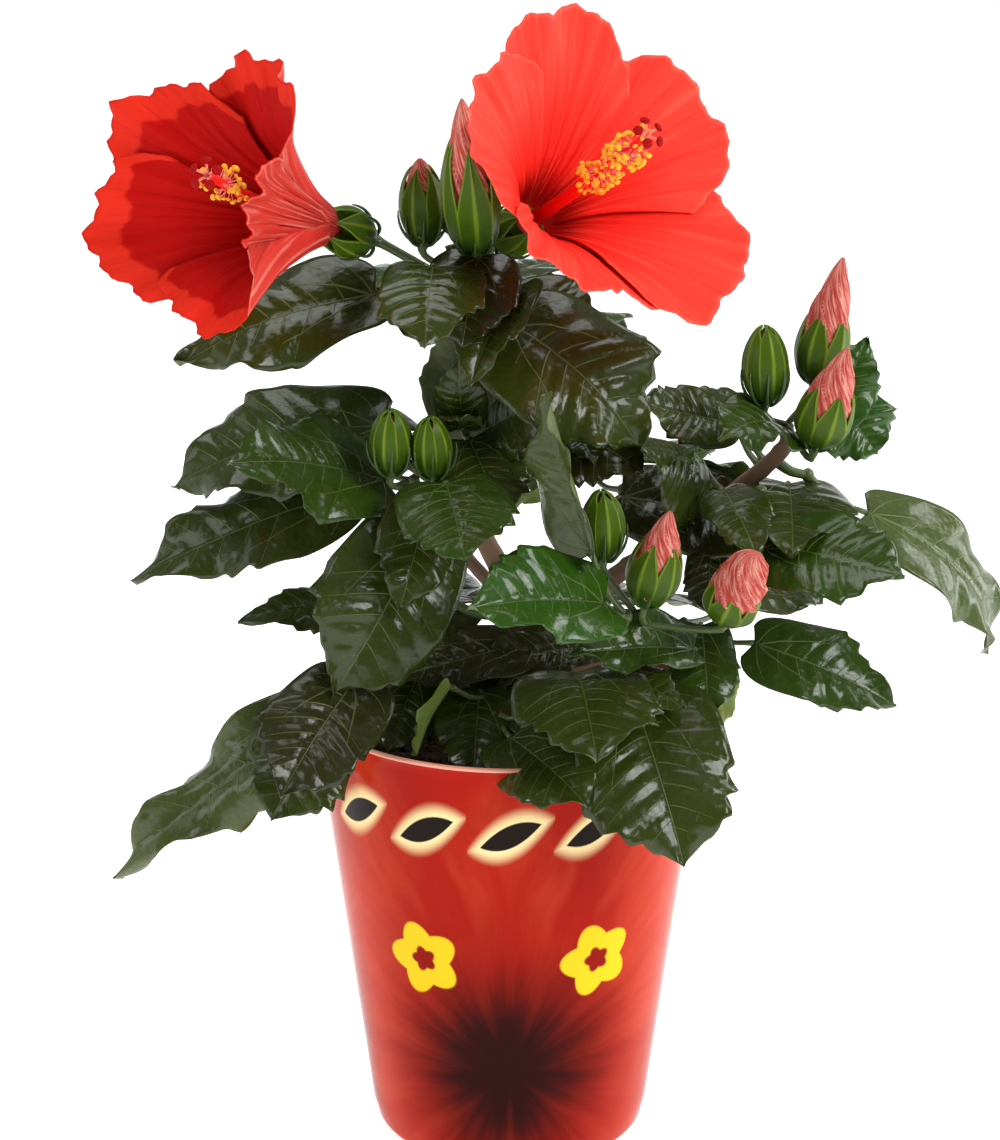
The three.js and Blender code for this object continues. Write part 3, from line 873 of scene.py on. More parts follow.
class Repeat:
    """A Geometry Nodes tree that sets many copies of a small part, then joins them as one mesh.

    On a Random Value node the sockets 2 and 3 are the least and the largest number, and 1 is the number
    that comes out.
    """

    def __init__(self, name: str, inputs: dict[str, str]) -> None:
        """Starts the tree.

        Args:
            name: Name of the tree.
            inputs: Socket type of each named input after the geometry.
        """
        self.tree = bpy.data.node_groups.new(name, "GeometryNodeTree")
        face = self.tree.interface
        face.new_socket("Geometry", in_out="INPUT", socket_type="NodeSocketGeometry")
        self.keys = {
            key: face.new_socket(key, in_out="INPUT", socket_type="NodeSocket" + kind).identifier
            for key, kind in inputs.items()
        }
        face.new_socket("Geometry", in_out="OUTPUT", socket_type="NodeSocketGeometry")
        self.given = self.tree.nodes.new("NodeGroupInput").outputs
        self.end = self.tree.nodes.new("NodeGroupOutput")

    def add(self, kind: str, settings: dict | None = None, inputs: dict | None = None) -> bpy.types.Node:
        """Adds a node.

        Args:
            kind: The node's type.
            settings: Its own settings.
            inputs: Value or link of each named or numbered socket.

        Returns:
            The node.
        """
        node = self.tree.nodes.new(kind)
        for key, value in (settings or {}).items():
            setattr(node, key, value)
        for key, value in (inputs or {}).items():
            if isinstance(value, bpy.types.NodeSocket):
                self.tree.links.new(value, node.inputs[key])
            else:
                node.inputs[key].default_value = value
        return node

    def close(self, instances: bpy.types.NodeSocket) -> None:
        """Makes the copies real, smooths them and gives them their finish.

        Args:
            instances: The copies.
        """
        real = self.add("GeometryNodeRealizeInstances", None, {"Geometry": instances})
        smoothed = self.add("GeometryNodeSetShadeSmooth", None, {"Geometry": real.outputs[0]})
        inputs = {"Geometry": smoothed.outputs[0], "Material": self.given["Finish"]}
        dressed = self.add("GeometryNodeSetMaterial", None, inputs)
        self.tree.links.new(dressed.outputs[0], self.end.inputs[0])

    def over(self, carrier: bpy.types.Object, name: str, **values: object) -> bpy.types.Object:
        """Runs the tree on a carrier, which is used up.

        Args:
            carrier: The object whose mesh the tree takes.
            name: Name of the new piece.
            values: Value of each named input.

        Returns:
            The new piece, a plain mesh.
        """
        modifier = carrier.modifiers.new(name, "NODES")
        modifier.node_group = self.tree
        for key, value in values.items():
            modifier[self.keys[key]] = value
        bpy.context.view_layer.update()
        evaluated = carrier.evaluated_get(bpy.context.evaluated_depsgraph_get())
        mesh = bpy.data.meshes.new_from_object(evaluated)
        mesh.name = name
        carrier.modifiers.remove(modifier)
        discard(carrier)
        return placed(name, mesh)


def discard(helper: bpy.types.Object) -> None:
    """Removes an object that only helped to make another."""
    mesh = helper.data
    bpy.data.objects.remove(helper)
    bpy.data.meshes.remove(mesh)


def scatter_tree() -> Repeat:
    """Builds the tree that strews grains over a surface, each stood on its normal and spun.

    Returns:
        The tree.
    """
    tree = Repeat("strewn_grains", {
        "Density": "Float", "Smallest": "Float", "Largest": "Float", "Seed": "Int",
        "Grain": "Object", "Finish": "Material",
    })
    spread = tree.add("GeometryNodeDistributePointsOnFaces", None, {
        "Mesh": tree.given["Geometry"], "Density": tree.given["Density"], "Seed": tree.given["Seed"],
    })
    grain = tree.add("GeometryNodeObjectInfo", None, {"Object": tree.given["Grain"]})
    spin = tree.add("FunctionNodeRandomValue", None, {3: 2 * math.pi, "Seed": tree.given["Seed"]})
    turn = tree.add("FunctionNodeAxisAngleToRotation", None, {"Axis": (0, 0, 1), "Angle": spin.outputs[1]})
    stood = tree.add("FunctionNodeRotateRotation", {"rotation_space": "LOCAL"}, {
        "Rotation": spread.outputs["Rotation"], "Rotate By": turn.outputs[0],
    })
    scale = tree.add("FunctionNodeRandomValue", None, {
        2: tree.given["Smallest"], 3: tree.given["Largest"], "Seed": SCALE_SEED,
    })
    copies = tree.add("GeometryNodeInstanceOnPoints", None, {
        "Points": spread.outputs["Points"], "Instance": grain.outputs["Geometry"],
        "Rotation": stood.outputs[0], "Scale": scale.outputs[1],
    })
    tree.close(copies.outputs[0])
    return tree


def whorl_tree() -> Repeat:
    """Builds the tree that sets a ring of straps round each of its carrier's points.

    Each point carries the axis of its ring and the ring's size.

    Returns:
        The tree.
    """
    tree = Repeat("whorled_straps", {
        "Count": "Int", "Radius": "Float", "Strap": "Object", "Finish": "Material",
    })
    ring = tree.add("GeometryNodeMeshCircle", None, {
        "Vertices": tree.given["Count"], "Radius": tree.given["Radius"],
    })
    position = tree.add("GeometryNodeInputPosition")
    outward = tree.add("FunctionNodeAlignRotationToVector", {"axis": "X", "pivot_axis": "Z"}, {
        "Vector": position.outputs[0],
    })
    strap = tree.add("GeometryNodeObjectInfo", None, {"Object": tree.given["Strap"]})
    straps = tree.add("GeometryNodeInstanceOnPoints", None, {
        "Points": ring.outputs[0], "Instance": strap.outputs["Geometry"], "Rotation": outward.outputs[0],
    })
    axis = tree.add("GeometryNodeInputNamedAttribute", {"data_type": "FLOAT_VECTOR"}, {"Name": PLACE})
    size = tree.add("ShaderNodeVectorMath", {"operation": "LENGTH"}, {0: axis.outputs[0]})
    along = tree.add("FunctionNodeAlignRotationToVector", {"axis": "Z"}, {"Vector": axis.outputs[0]})
    copies = tree.add("GeometryNodeInstanceOnPoints", None, {
        "Points": tree.given["Geometry"], "Instance": straps.outputs[0],
        "Rotation": along.outputs[0], "Scale": size.outputs["Value"],
    })
    tree.close(copies.outputs[0])
    return tree


# ---- leaves --------------------------------------------------------------------------------------------


@dataclass(frozen=True)
class Leaf:
    """One leaf: an ovate, toothed blade on a stalk.

    Its upper face looks to the sky, leaned by `lean` degrees towards the heading `lean_to`, and its length
    bends through `sag` degrees. Its halves rise by `fold` degrees from the midrib and turn down again at
    their edges by `curl`. `ruffle` is the height of the waves at its edge, as a share of its length,
    `twist` turns its tip about the midrib, and `root` is where its stalk leaves the twig, when that isn't
    the knuckle.
    """

    base: Point
    heading: float
    rise: float
    length: float
    width: float
    lean: float
    sag: float
    tint: Tint = Tint.DARK
    lean_to: float = 270
    fold: float = 14
    curl: float = 0.25
    ruffle: float = 0.04
    twist: float = 0
    teeth: int = 7
    root: Point | None = None

    ROWS = 56
    COLUMNS = 9
    DEPTH = 0.45
    VEINS = 6
    VEIN_ABOVE = 0.42
    VEIN_BELOW = 1.5
    TOOTH_PEAK = 0.72
    TOOTH_DEPTH = 0.19
    QUILT_DEPTH = 0.1
    QUILT_PITCH = 0.12
    USUAL_LENGTH = 60

    def face(self, u: Array, t: Array, seed: int) -> Array:
        """Gives places on the upper face.

        Args:
            u: Share of the length, from 0 at the stalk to 1 at the tip.
            t: Share of the half-width, from -1 to 1, the same shape as `u`.
            seed: Seed of this leaf's unevenness.

        Returns:
            The places, in millimetres.
        """
        phase = np.random.default_rng(seed).uniform(0, 2 * np.pi, 6)
        sign, out = np.sign(t), np.abs(t)
        half = 0.5 * self.width / self.length * bell(u, 0.52, 1.12, 0.03)
        saw = (u * self.teeth + 0.17 * sign + 0.12 * np.sin(7 * u + phase[4])) % 1.0
        tooth = np.where(saw < self.TOOTH_PEAK, saw / self.TOOTH_PEAK, (1 - saw) / (1 - self.TOOTH_PEAK))
        uneven = 0.65 + 0.35 * np.sin(9 * u + phase[0] + sign)
        jag = self.TOOTH_DEPTH * smooth(0.15, 0.5, u) * (tooth - 0.5) * uneven
        half = half * (1 + out**5 * jag) * (1 + 0.07 * np.sin(8 * u + phase[5] + 2 * sign)) + 0.002
        sweep = -0.35 + 0.85 * smooth(0, 0.35, u)
        x = u + sweep * out**1.2 * half
        y = t * half
        z = math.tan(math.radians(self.fold)) * np.abs(y)
        z = z - self.curl * 2.2 * y * y / (self.width / self.length)
        z = z + self.ruffle * out**3 * np.sin(14 * u + phase[1] + sign * phase[2]) * smooth(0, 0.3, u)
        quilt = np.abs(np.sin(np.pi * (u - 0.1) / self.QUILT_PITCH)) ** 0.8
        quilt = quilt * smooth(0.06, 0.2, u) * smooth(1.0, 0.75, u)
        z = z + self.QUILT_DEPTH * half * quilt * out**0.6 * (1.15 - out)
        z = z + 0.014 * np.sin(5 * u + phase[3]) * smooth(0.2, 0.8, u)
        z = z + 0.01 * out * np.sin(11 * u + 3 * t + phase[5]) * smooth(0.1, 0.4, u)
        return self.bent(x, y, z)

    def bent(self, x: Array, y: Array, z: Array) -> Array:
        """Bends a blade of length one, gives it its size and puts it in its place.

        Args:
            x: Places along the blade.
            y: Places across it.
            z: Heights above it.

        Returns:
            The places, in millimetres.
        """
        along = direction(self.heading, self.rise)
        lean = math.radians(self.lean)
        normal = SKY * math.cos(lean) + direction(self.lean_to, 0) * math.sin(lean)
        normal = unit(normal - along * (normal @ along))
        side = np.cross(normal, along)
        turn = math.radians(self.sag) or 1e-3
        angle = turn * (0.5 - x)
        middle_x = (math.sin(turn / 2) - np.sin(angle)) / turn
        middle_z = (np.cos(angle) - math.cos(turn / 2)) / turn
        twist = math.radians(self.twist) * x
        y, z = y * np.cos(twist) - z * np.sin(twist), y * np.sin(twist) + z * np.cos(twist)
        size = self.length * (turn / 2) / math.sin(turn / 2)
        ahead = (middle_x - np.sin(angle) * z)[..., None] * along
        above = (middle_z + np.cos(angle) * z)[..., None] * normal
        return np.array(self.base) + size * (ahead + above + y[..., None] * side)

    def vein_paths(self) -> list[tuple[Array, Array, float]]:
        """Gives each vein as places along and across the blade, and its half-width at its foot.

        The midrib comes first. Two veins on each side leave the blade's foot, and the rest leave the midrib.

        Returns:
            The veins.
        """
        s = np.linspace(0, 1, 15)
        paths = [(np.linspace(0, 0.985, 36), np.zeros(36), 0.62)]
        for side in (-1, 1):
            paths.append((0.02 + 0.40 * s**0.9, side * 0.62 * s**0.75, 0.45))
            paths.append((0.02 + 0.13 * s, side * 0.86 * s**0.7, 0.34))
            for i in range(self.VEINS):
                start = 0.18 + self.QUILT_PITCH * i + 0.02 * side
                paths.append((start + 0.03 * s, side * (0.88 if i else 0.5) * s, 0.34 - 0.03 * i))
        return paths

    def grow(self, shape: Shape, seed: int) -> None:
        """Adds the blade and its veins to a shape.

        Args:
            shape: What they are added to.
            seed: Seed of this leaf's unevenness.
        """
        u = np.linspace(0, 1, self.ROWS) ** 0.96
        t = np.linspace(1, -1, 2 * self.COLUMNS + 1)
        t = np.sign(t) * np.abs(t) ** 0.85
        u, t = np.meshgrid(u, -t, indexing="ij")
        depth = self.DEPTH * (1 - 0.6 * np.abs(t) ** 3)
        shape.plate(self.face(u, t, seed), depth, self.tint.face(), self.tint.under())
        step = 0.01
        for along, across, wide in self.vein_paths():
            path = self.face(along, across, seed)
            fore = self.face(along + step, across, seed) - path
            left = self.face(along, across + step, seed) - path
            taper = np.linspace(1, 0.22, len(along))
            half = wide * taper * (self.length / self.USUAL_LENGTH) ** 0.5
            normal = unit(np.cross(fore, left))
            shape.ridge(path, normal, half, self.VEIN_ABOVE, self.VEIN_BELOW, self.tint.vein())


@dataclass
class Foliage:
    """A mass of leaves: a twig to its knuckle, its leaves on their stalks, and a spray of small ones.

    The twig runs from `start` to `foot`, and the spray has `extra` leaves.
    """

    name: str
    foot: Point
    leaves: list[Leaf]
    start: Point | None = None
    extra: int = 2
    seed: int = 0

    REACH = (0.45, 0.75)
    SEED_STEP = 31
    KNUCKLE = 2.4
    KNUCKLE_RADIUS = 2.1

    def spray(self) -> list[Leaf]:
        """Grows the small leaves, each from near a main one and turned from it.

        Returns:
            The leaves.
        """
        rng = np.random.default_rng(self.seed)
        grown = []
        for i in range(self.extra):
            parent = self.leaves[i % len(self.leaves)]
            share = rng.uniform(*self.REACH)
            heading = parent.heading + rng.choice([-1, 1]) * rng.uniform(25, 60)
            foot = np.array(self.foot) + (np.array(parent.base) - self.foot) * rng.uniform(0.3, 0.7)
            base = foot + direction(heading, rng.uniform(0, 35)) * rng.uniform(5, 10)
            grown.append(Leaf(
                tuple(base), heading, parent.rise + rng.uniform(-25, 5), parent.length * share,
                parent.length * share * rng.uniform(0.5, 0.68), rng.uniform(25, 50), rng.uniform(20, 50),
                rng.choice([Tint.DEEP, Tint.DARK, Tint.DARK, Tint.GREEN]), parent.lean_to,
                twist=rng.uniform(-15, 15), root=tuple(foot),
            ))
        return grown

    def build(self) -> None:
        """Builds the blades as one piece and the stalks as another."""
        blades, stalks = Shape(), Shape()
        if self.start:
            self.stalk(stalks, self.start, self.foot, 2.0, 1.4)
        for number, leaf in enumerate([*self.leaves, *self.spray()]):
            leaf.grow(blades, self.seed * self.SEED_STEP + number)
            self.stalk(stalks, leaf.root or self.foot, leaf.base, 1.15, 0.8)
        knot = np.linspace(-self.KNUCKLE, self.KNUCKLE, 7)
        path = np.array(self.foot) + np.outer(knot, SKY)
        radii = self.KNUCKLE_RADIUS * np.sqrt(1.05 - (knot / self.KNUCKLE) ** 2)
        stalks.tube(path, radii, 10, STALK_GREEN)
        settle(blades.build(self.name.replace("foliage", "leaves")), "leaf", self.name)
        settle(stalks.build(self.name.replace("foliage", "stalks")), "leaf")

    @staticmethod
    def stalk(shape: Shape, start: Point, end: Point, foot: float, tip: float) -> None:
        """Adds one stalk, which sags a little and is thicker at both ends.

        Args:
            shape: What it is added to.
            start: Where it leaves its twig.
            end: Where the blade starts.
            foot: Radius at its start.
            tip: Radius at its end.
        """
        a, b = np.array(start, float), np.array(end, float)
        far = float(np.linalg.norm(b - a))
        middle = (a + b) / 2 - SKY * 0.1 * far
        path = curve([tuple(a), tuple(middle), tuple(b)], 10)
        u = np.linspace(0, 1, 10)
        shape.tube(path, foot + (tip - foot) * u + 0.3 * (2 * u - 1) ** 4, 8, STALK_GREEN)


# ---- stems ---------------------------------------------------------------------------------------------


@dataclass
class Stem:
    """The stem or a bough: a tapering limb with bark relief, leaf scars and, on the stem, a flared foot.

    `age` is how old its bark is at the foot and at the tip, from 0 to 1.
    """

    name: str
    points: list[Point]
    radii: list[float]
    flare: float = 0.0
    age: tuple[float, float] = (0.6, 0.1)
    seed: int = 0

    SIDES = 22
    STEP = 0.9
    SCAR_PITCH = 13.0
    SCAR_HEIGHT = 0.16

    def build(self) -> None:
        """Builds the limb as one piece."""
        rough = curve(self.points, 60)
        length = float(np.linalg.norm(np.diff(rough, axis=0), axis=1).sum())
        rows = max(12, int(length / self.STEP))
        path = curve(self.points, rows)
        u = np.linspace(0, 1, rows)
        radius = np.interp(u, np.linspace(0, 1, len(self.radii)), self.radii)[:, None]
        angle = (np.arange(self.SIDES) * 2 * np.pi / self.SIDES)[None]
        phase = np.random.default_rng(self.seed).uniform(0, 2 * np.pi, 8)
        reach = (u * length)[:, None]
        relief = 0.035 * np.sin(5 * angle + 0.05 * reach + phase[0])
        relief = relief + 0.03 * np.sin(9 * angle - 0.08 * reach + phase[1])
        rings = 0.03 * np.sin(0.55 * reach + 2 * angle + phase[2])
        relief = relief + rings * np.sin(0.23 * reach + phase[3])
        near = (reach + 2 * np.sin(angle + phase[4])) % self.SCAR_PITCH - self.SCAR_PITCH / 2
        side = 0.5 + 0.5 * np.cos(angle - GOLDEN_TURN * np.floor(reach / self.SCAR_PITCH) + phase[5])
        scar = np.exp(-((near / 1.5) ** 2)) * side**2
        flare = self.flare * (1 - u[:, None]) ** 9 * (1 + 0.3 * np.sin(3 * angle + phase[6]))
        radii = radius * (1 + relief + self.SCAR_HEIGHT * scar) + flare
        old = self.age[0] + (self.age[1] - self.age[0]) * u[:, None]
        places = np.stack(np.broadcast_arrays(reach, angle / (2 * np.pi), old), axis=-1)
        shape = Shape()
        shape.tube(path, radii, self.SIDES, BARK, places)
        settle(shape.build(self.name + "_bark"), "bark", self.name)


# ---- calyx, buds and blooms ----------------------------------------------------------------------------

BRACTS = 8
BRACT_RING = 2.4
BRACT_SIZE = 0.8


def sheet(rows: int, columns: int) -> tuple[Array, Array]:
    """Spreads places over a sepal or a petal.

    Args:
        rows: Places along it.
        columns: Places on each side of its middle.

    Returns:
        How far each place lies along, from 0 to 1, and across, from -1 to 1.
    """
    return np.meshgrid(np.linspace(0, 1, rows), np.linspace(-1, 1, 2 * columns + 1), indexing="ij")


@dataclass(frozen=True)
class Axis:
    """A line from a foot to a tip, with two directions across it."""

    foot: Point
    tip: Point

    def frame(self) -> tuple[Array, Array, Array, Array, float]:
        """Gives the foot, the direction along, the two directions across, and the length."""
        foot, tip = np.array(self.foot, float), np.array(self.tip, float)
        along = unit(tip - foot)
        right = unit(np.cross(SKY if abs(along[2]) < 0.95 else np.array([0, 1.0, 0]), along))
        return foot, along, right, np.cross(along, right), float(np.linalg.norm(tip - foot))

    def at(self, ahead: Array, radius: Array, angle: Array) -> Array:
        """Gives places by their distance along the line, from it and round it."""
        foot, along, right, up, _ = self.frame()
        out = np.cos(angle)[..., None] * right + np.sin(angle)[..., None] * up
        return foot + ahead[..., None] * along + radius[..., None] * out


@dataclass(frozen=True)
class Calyx:
    """Five sepals joined as a cup at their foot and pointed at their tips.

    `cup` is the share of the length over which they are joined, and `gape` how far their tips stand out,
    as a share of the radius.
    """

    axis: Axis
    radius: float
    length: float
    cup: float = 0.45
    gape: float = 0.0
    turn: float = 0.0

    SEPALS = 5
    CLOSING = 0.6
    ROWS = 22
    COLUMNS = 6
    DEPTH = 0.55

    def grow(self, shape: Shape) -> None:
        """Adds the sepals to a shape.

        Args:
            shape: What they are added to.
        """
        v, s = sheet(self.ROWS, self.COLUMNS)
        free = np.clip((v - self.cup) / (1 - self.cup), 0, 1)
        wide = np.where(free > 0, (1 - free**1.35), 1.0) * 1.02 + 0.01
        closed = bell(v * 0.995, 0.5, self.CLOSING, 0.02)
        out = closed + (smooth(0.3, 0.9, v) * (1 - closed)) * self.gape
        rib = 0.05 * (1 - smooth(0, 0.35, np.abs(s))) + 0.045 * smooth(0.8, 1, np.abs(s)) * np.sin(np.pi * v)
        for i in range(self.SEPALS):
            angle = self.turn + 2 * np.pi * i / self.SEPALS + s * wide * np.pi / self.SEPALS
            face = self.axis.at(self.length * v, self.radius * (out + rib) + 0.25, angle)
            places = np.stack([v, s, np.full_like(v, i)], axis=-1)
            shape.plate(face[:, ::-1], self.DEPTH, SEPAL, SEPAL_INSIDE, places[:, ::-1])


@dataclass(frozen=True)
class Roll:
    """Petals rolled round each other in a bud, with a climbing edge on each."""

    axis: Axis
    radius: float
    fall: float

    FOLDS = 5
    CLIMB = 0.55
    START = 0.12
    ROWS = 34
    SIDES = 60

    def grow(self, shape: Shape) -> None:
        """Adds the roll to a shape.

        Args:
            shape: What it is added to.
        """
        length = self.axis.frame()[4]
        v = np.linspace(self.START, 1, self.ROWS)[:, None]
        turn = (np.arange(self.SIDES) / self.SIDES)[None]
        fold = (self.FOLDS * turn + self.CLIMB * self.FOLDS * v) % 1.0
        radius = self.radius * bell(v * 0.985, 0.42, self.fall, 0.03) * (0.93 + 0.15 * fold**2.2)
        angle = turn * 2 * np.pi
        rings = self.axis.at(*np.broadcast_arrays(length * v, radius, angle))
        places = np.stack(np.broadcast_arrays(v, turn, fold), axis=-1)
        shape.rings(rings, shape.slot_of(ROLL), places)


@dataclass(frozen=True)
class Bud:
    """A bud: its calyx, the petals that show above it, and the ring of thread bracts below it.

    `calyx` is the calyx's share of the length; a calyx of 1 hides the petals. `cup` and `gape` are the
    calyx's own, `swell` is the petals' share of the radius, and `fall` the power by which they close.
    """

    foot: Point
    tip: Point
    radius: float
    calyx: float = 1.0
    cup: float = 0.45
    gape: float = 0.0
    swell: float = 0.84
    fall: float = 0.85

    def grow(self, sepals: Shape, petals: Shape) -> None:
        """Adds the bud to the shapes of its cluster.

        Args:
            sepals: The cluster's sepals.
            petals: The cluster's petals.
        """
        axis = Axis(self.foot, self.tip)
        length = axis.frame()[4]
        Calyx(axis, self.radius, length * self.calyx, self.cup, self.gape, self.radius % 1 * 2).grow(sepals)
        swell = self.swell
        if self.calyx >= 1:
            axis = Axis(self.foot, tuple(0.1 * np.array(self.foot) + 0.9 * np.array(self.tip)))
            swell *= 0.85
        Roll(axis, self.radius * swell, self.fall).grow(petals)


@dataclass
class BudCluster:
    """Buds that share a knuckle."""

    name: str
    foot: Point
    buds: list[Bud]

    def build(self, whorls: Repeat, strap: bpy.types.Object) -> None:
        """Builds the cluster's sepals, petals, stalks and bracts.

        Args:
            whorls: The tree that sets the bracts.
            strap: One bract.
        """
        sepals, petals, stalks = Shape(), Shape(), Shape()
        for bud in self.buds:
            bud.grow(sepals, petals)
            foot, along = Axis(bud.foot, bud.tip).frame()[:2]
            path = curve([self.foot, tuple(foot - along * 5), tuple(foot + along * 0.8)], 12)
            radii = 1.1 + 1.5 * smooth(0.75, 1, np.linspace(0, 1, 12))
            stalks.tube(path, radii, 10, STALK_GREEN)
        settle(sepals.build(self.name + "_sepals"), "bud", self.name)
        settle(petals.build(self.name + "_petals"), "petal")
        settle(stalks.build(self.name + "_stalks"), "bud")
        bracts = ring_of_bracts(self.name, [(b.foot, b.tip, BRACT_SIZE) for b in self.buds], whorls, strap)
        settle(bracts, "bud")


def ring_of_bracts(
    name: str, sites: list[tuple[Point, Point, float]], whorls: Repeat, strap: bpy.types.Object
) -> bpy.types.Object:
    """Sets a ring of bracts round the foot of each bud or bloom.

    Args:
        name: Name of what they belong to.
        sites: Foot, tip and size of each ring.
        whorls: The tree that sets them.
        strap: One bract.

    Returns:
        The bracts, as one piece.
    """
    mesh = bpy.data.meshes.new(name + "_sites")
    mesh.from_pydata([tuple(MM * c for c in foot) for foot, _, _ in sites], [], [])
    mark_points(mesh, np.array([Axis(foot, tip).frame()[1] * size for foot, tip, size in sites]))
    return whorls.over(
        placed(name + "_sites", mesh), name + "_bracts", Count=BRACTS, Radius=BRACT_RING * MM,
        Strap=strap, Finish=BRACT.material(),
    )


def bract() -> bpy.types.Object:
    """Makes one thread bract, which starts outwards and turns up.

    Returns:
        The bract, to be copied and then discarded.
    """
    u = np.linspace(0, 1, 9)
    path = np.column_stack([7.2 * np.sin(u * 1.75), 0.7 * u * u, 15 * u**1.5 - 1.2])
    shape = Shape()
    shape.tube(path, 0.75 * np.sqrt(bell(u * 0.97, 0.3, 0.9, 0.1)), 5, BRACT)
    return shape.build("bract_part")


@dataclass(frozen=True)
class Petal:
    """One petal: its turn round the bloom's axis, its opening from it, its length and its half-width.

    The turn, opening and half-width are in degrees. With a `fan`, the petal lies flatter across than the
    funnel does, as if it were cut from a cone that opens by that many degrees. One margin rolls in by
    `roll` degrees, from `crease` of the half-width out: the one ahead of its turn, or the one behind it if
    `roll` is below zero.
    """

    turn: float
    open: float
    length: float
    spread: float = 46.0
    fan: float = 0.0
    roll: float = 0.0
    crease: float = 0.2


@dataclass
class Bloom:
    """An open bloom: five overlapping petals, the column with its anthers and stigmas, and the calyx.

    The axis leaves the throat by `heading` and `rise`. `tube` is the length of the neck behind the throat
    and `column` that of the column, which is bare over the share `bare` and whose tip is moved up by
    `lift` and aside by `sway`. `wave` is the height of the ruffles, and `recurve` how far the rims bend
    back, as a share of their length. Each of the `folds` is a turn, an opening and a length that the
    funnel has between the middles of its petals.
    """

    name: str
    foot: Point
    throat: Point
    heading: float
    rise: float
    tube: float
    column: float
    bare: float
    lift: float
    sway: float
    wave: float
    recurve: float
    petals: list[Petal]
    folds: list[tuple[float, float, float]]
    face: PetalFinish
    back: PetalFinish
    seed: int

    ROWS = 48
    COLUMNS = 22
    TUBE_RADIUS = 5.0
    NECK = 2.0
    SEAT = 7.0
    DEPTH = 0.5
    LAP = 0.9
    ROUNDING = 0.27
    ROLL_RADIUS = 6.0
    BLENDING = 9
    CALYX_RADIUS = 7.6
    STEPS = 40
    STIGMAS = 5
    ANTHER_DENSITY = 560000.0

    def frame(self) -> tuple[Array, Array, Array, Array]:
        """Gives the throat, the axis, and the two directions across it."""
        axis = direction(self.heading, self.rise)
        right = direction(self.heading + 90, 0)
        return np.array(self.throat, float), axis, right, np.cross(axis, right)

    def ahead(self, distance: float) -> Point:
        """Gives the place this far along the axis from the throat."""
        centre, axis, _, _ = self.frame()
        return tuple(centre + axis * distance)

    def shared(self, angle: Array) -> tuple[Array, Array]:
        """Gives the funnel's opening and length round the axis, run smoothly from petal to fold to petal.

        Args:
            angle: Turn round the axis, in radians.

        Returns:
            The opening in radians, and the length.
        """
        stations = [(petal.turn, petal.open, petal.length) for petal in self.petals] + self.folds
        turns, opens, lengths = np.array(stations).T
        weight = np.maximum(0, np.cos(angle[..., None] - np.radians(turns))) ** self.BLENDING
        weight = weight / weight.sum(-1, keepdims=True)
        return np.radians((weight * opens).sum(-1)), (weight * lengths).sum(-1)

    def petal_face(self, petal: Petal, number: int) -> tuple[Array, Array]:
        """Gives the inner face of one petal.

        Args:
            petal: The petal.
            number: Its place in the bloom.

        Returns:
            Places on its face, rows from the throat to the rim, and what its material reads.
        """
        centre, axis, right, up = self.frame()
        phase = np.random.default_rng(self.seed).uniform(0, 2 * np.pi, 8)
        v, s = sheet(self.ROWS, self.COLUMNS)
        rim = 1 - self.ROUNDING * np.abs(s) ** 2.6
        frill = 0.024 * np.sin(8 * s + phase[0] + number) + 0.018 * np.sin(17 * s + phase[1] + 2 * number)
        rim = rim + self.wave / 3 * (frill + 0.009 * np.sin(39 * s + phase[6] + number))
        ell = v * rim
        rolled = np.maximum(0, s * np.sign(petal.roll) - petal.crease)
        spread = np.radians(petal.spread) * (1 - 0.12 * smooth(0.0, 0.5, v) + 0.06 * v)
        angle = math.radians(petal.turn) + (s - np.sign(petal.roll) * rolled) * spread
        opening, length = self.shared(angle)
        flare = self.recurve * length * smooth(0.55, 1.05, ell)
        neck = self.NECK + (self.TUBE_RADIUS - self.NECK) * smooth(0, 0.08, v)
        radius = neck * (1 - v) + length * ell**1.2 * np.sin(opening) + 0.5 * flare
        far = length * ell**0.85 * np.cos(opening) - self.SEAT * (1 - v) ** 4 - flare
        middle, off = math.radians(petal.turn), angle - math.radians(petal.turn)
        out = math.cos(middle) * right + math.sin(middle) * up
        aside = math.cos(middle) * up - math.sin(middle) * right
        wide = np.maximum(radius, petal.length * ell**0.65 * math.sin(math.radians(petal.fan)))
        place = centre + far[..., None] * axis + (wide * np.sin(off))[..., None] * aside
        place = place + (radius - wide * (1 - np.cos(off)))[..., None] * out
        curl = math.radians(abs(petal.roll)) * rolled / (1 - petal.crease)
        bend = wide * spread * (1 - petal.crease) / max(math.radians(abs(petal.roll)), 0.1)
        bend = np.maximum(bend, self.ROLL_RADIUS * smooth(0, 0.15, v))
        ahead = (-np.sin(angle)[..., None] * right + np.cos(angle)[..., None] * up) * np.sign(petal.roll)
        inward = axis * 0.35 - np.cos(angle)[..., None] * right - np.sin(angle)[..., None] * up
        place = place + (bend * np.sin(curl))[..., None] * ahead
        place = place + (bend * (1 - np.cos(curl)))[..., None] * inward
        normal = unit(np.cross(np.gradient(place, axis=1), np.gradient(place, axis=0)))
        grow = smooth(0.4, 1.0, ell)
        ruffle = grow**1.5 * (np.sin(13 * angle + phase[2]) + 0.6 * np.sin(22 * angle + phase[3] + 2 * v))
        ruffle = ruffle + 0.35 * grow**3 * np.sin(37 * angle + phase[4])
        pleat = 0.42 * np.sin(24 * s + phase[5]) + 0.24 * np.sin(41 * s + phase[7])
        pleat = pleat * smooth(0.1, 0.4, v) * (1.2 - 0.9 * v)
        shift = self.wave * 0.5 * ruffle + pleat + self.LAP * s * smooth(0.02, 0.35, v)
        places = np.stack([v, s, np.full_like(v, number)], axis=-1)
        return place + normal * shift[..., None], places

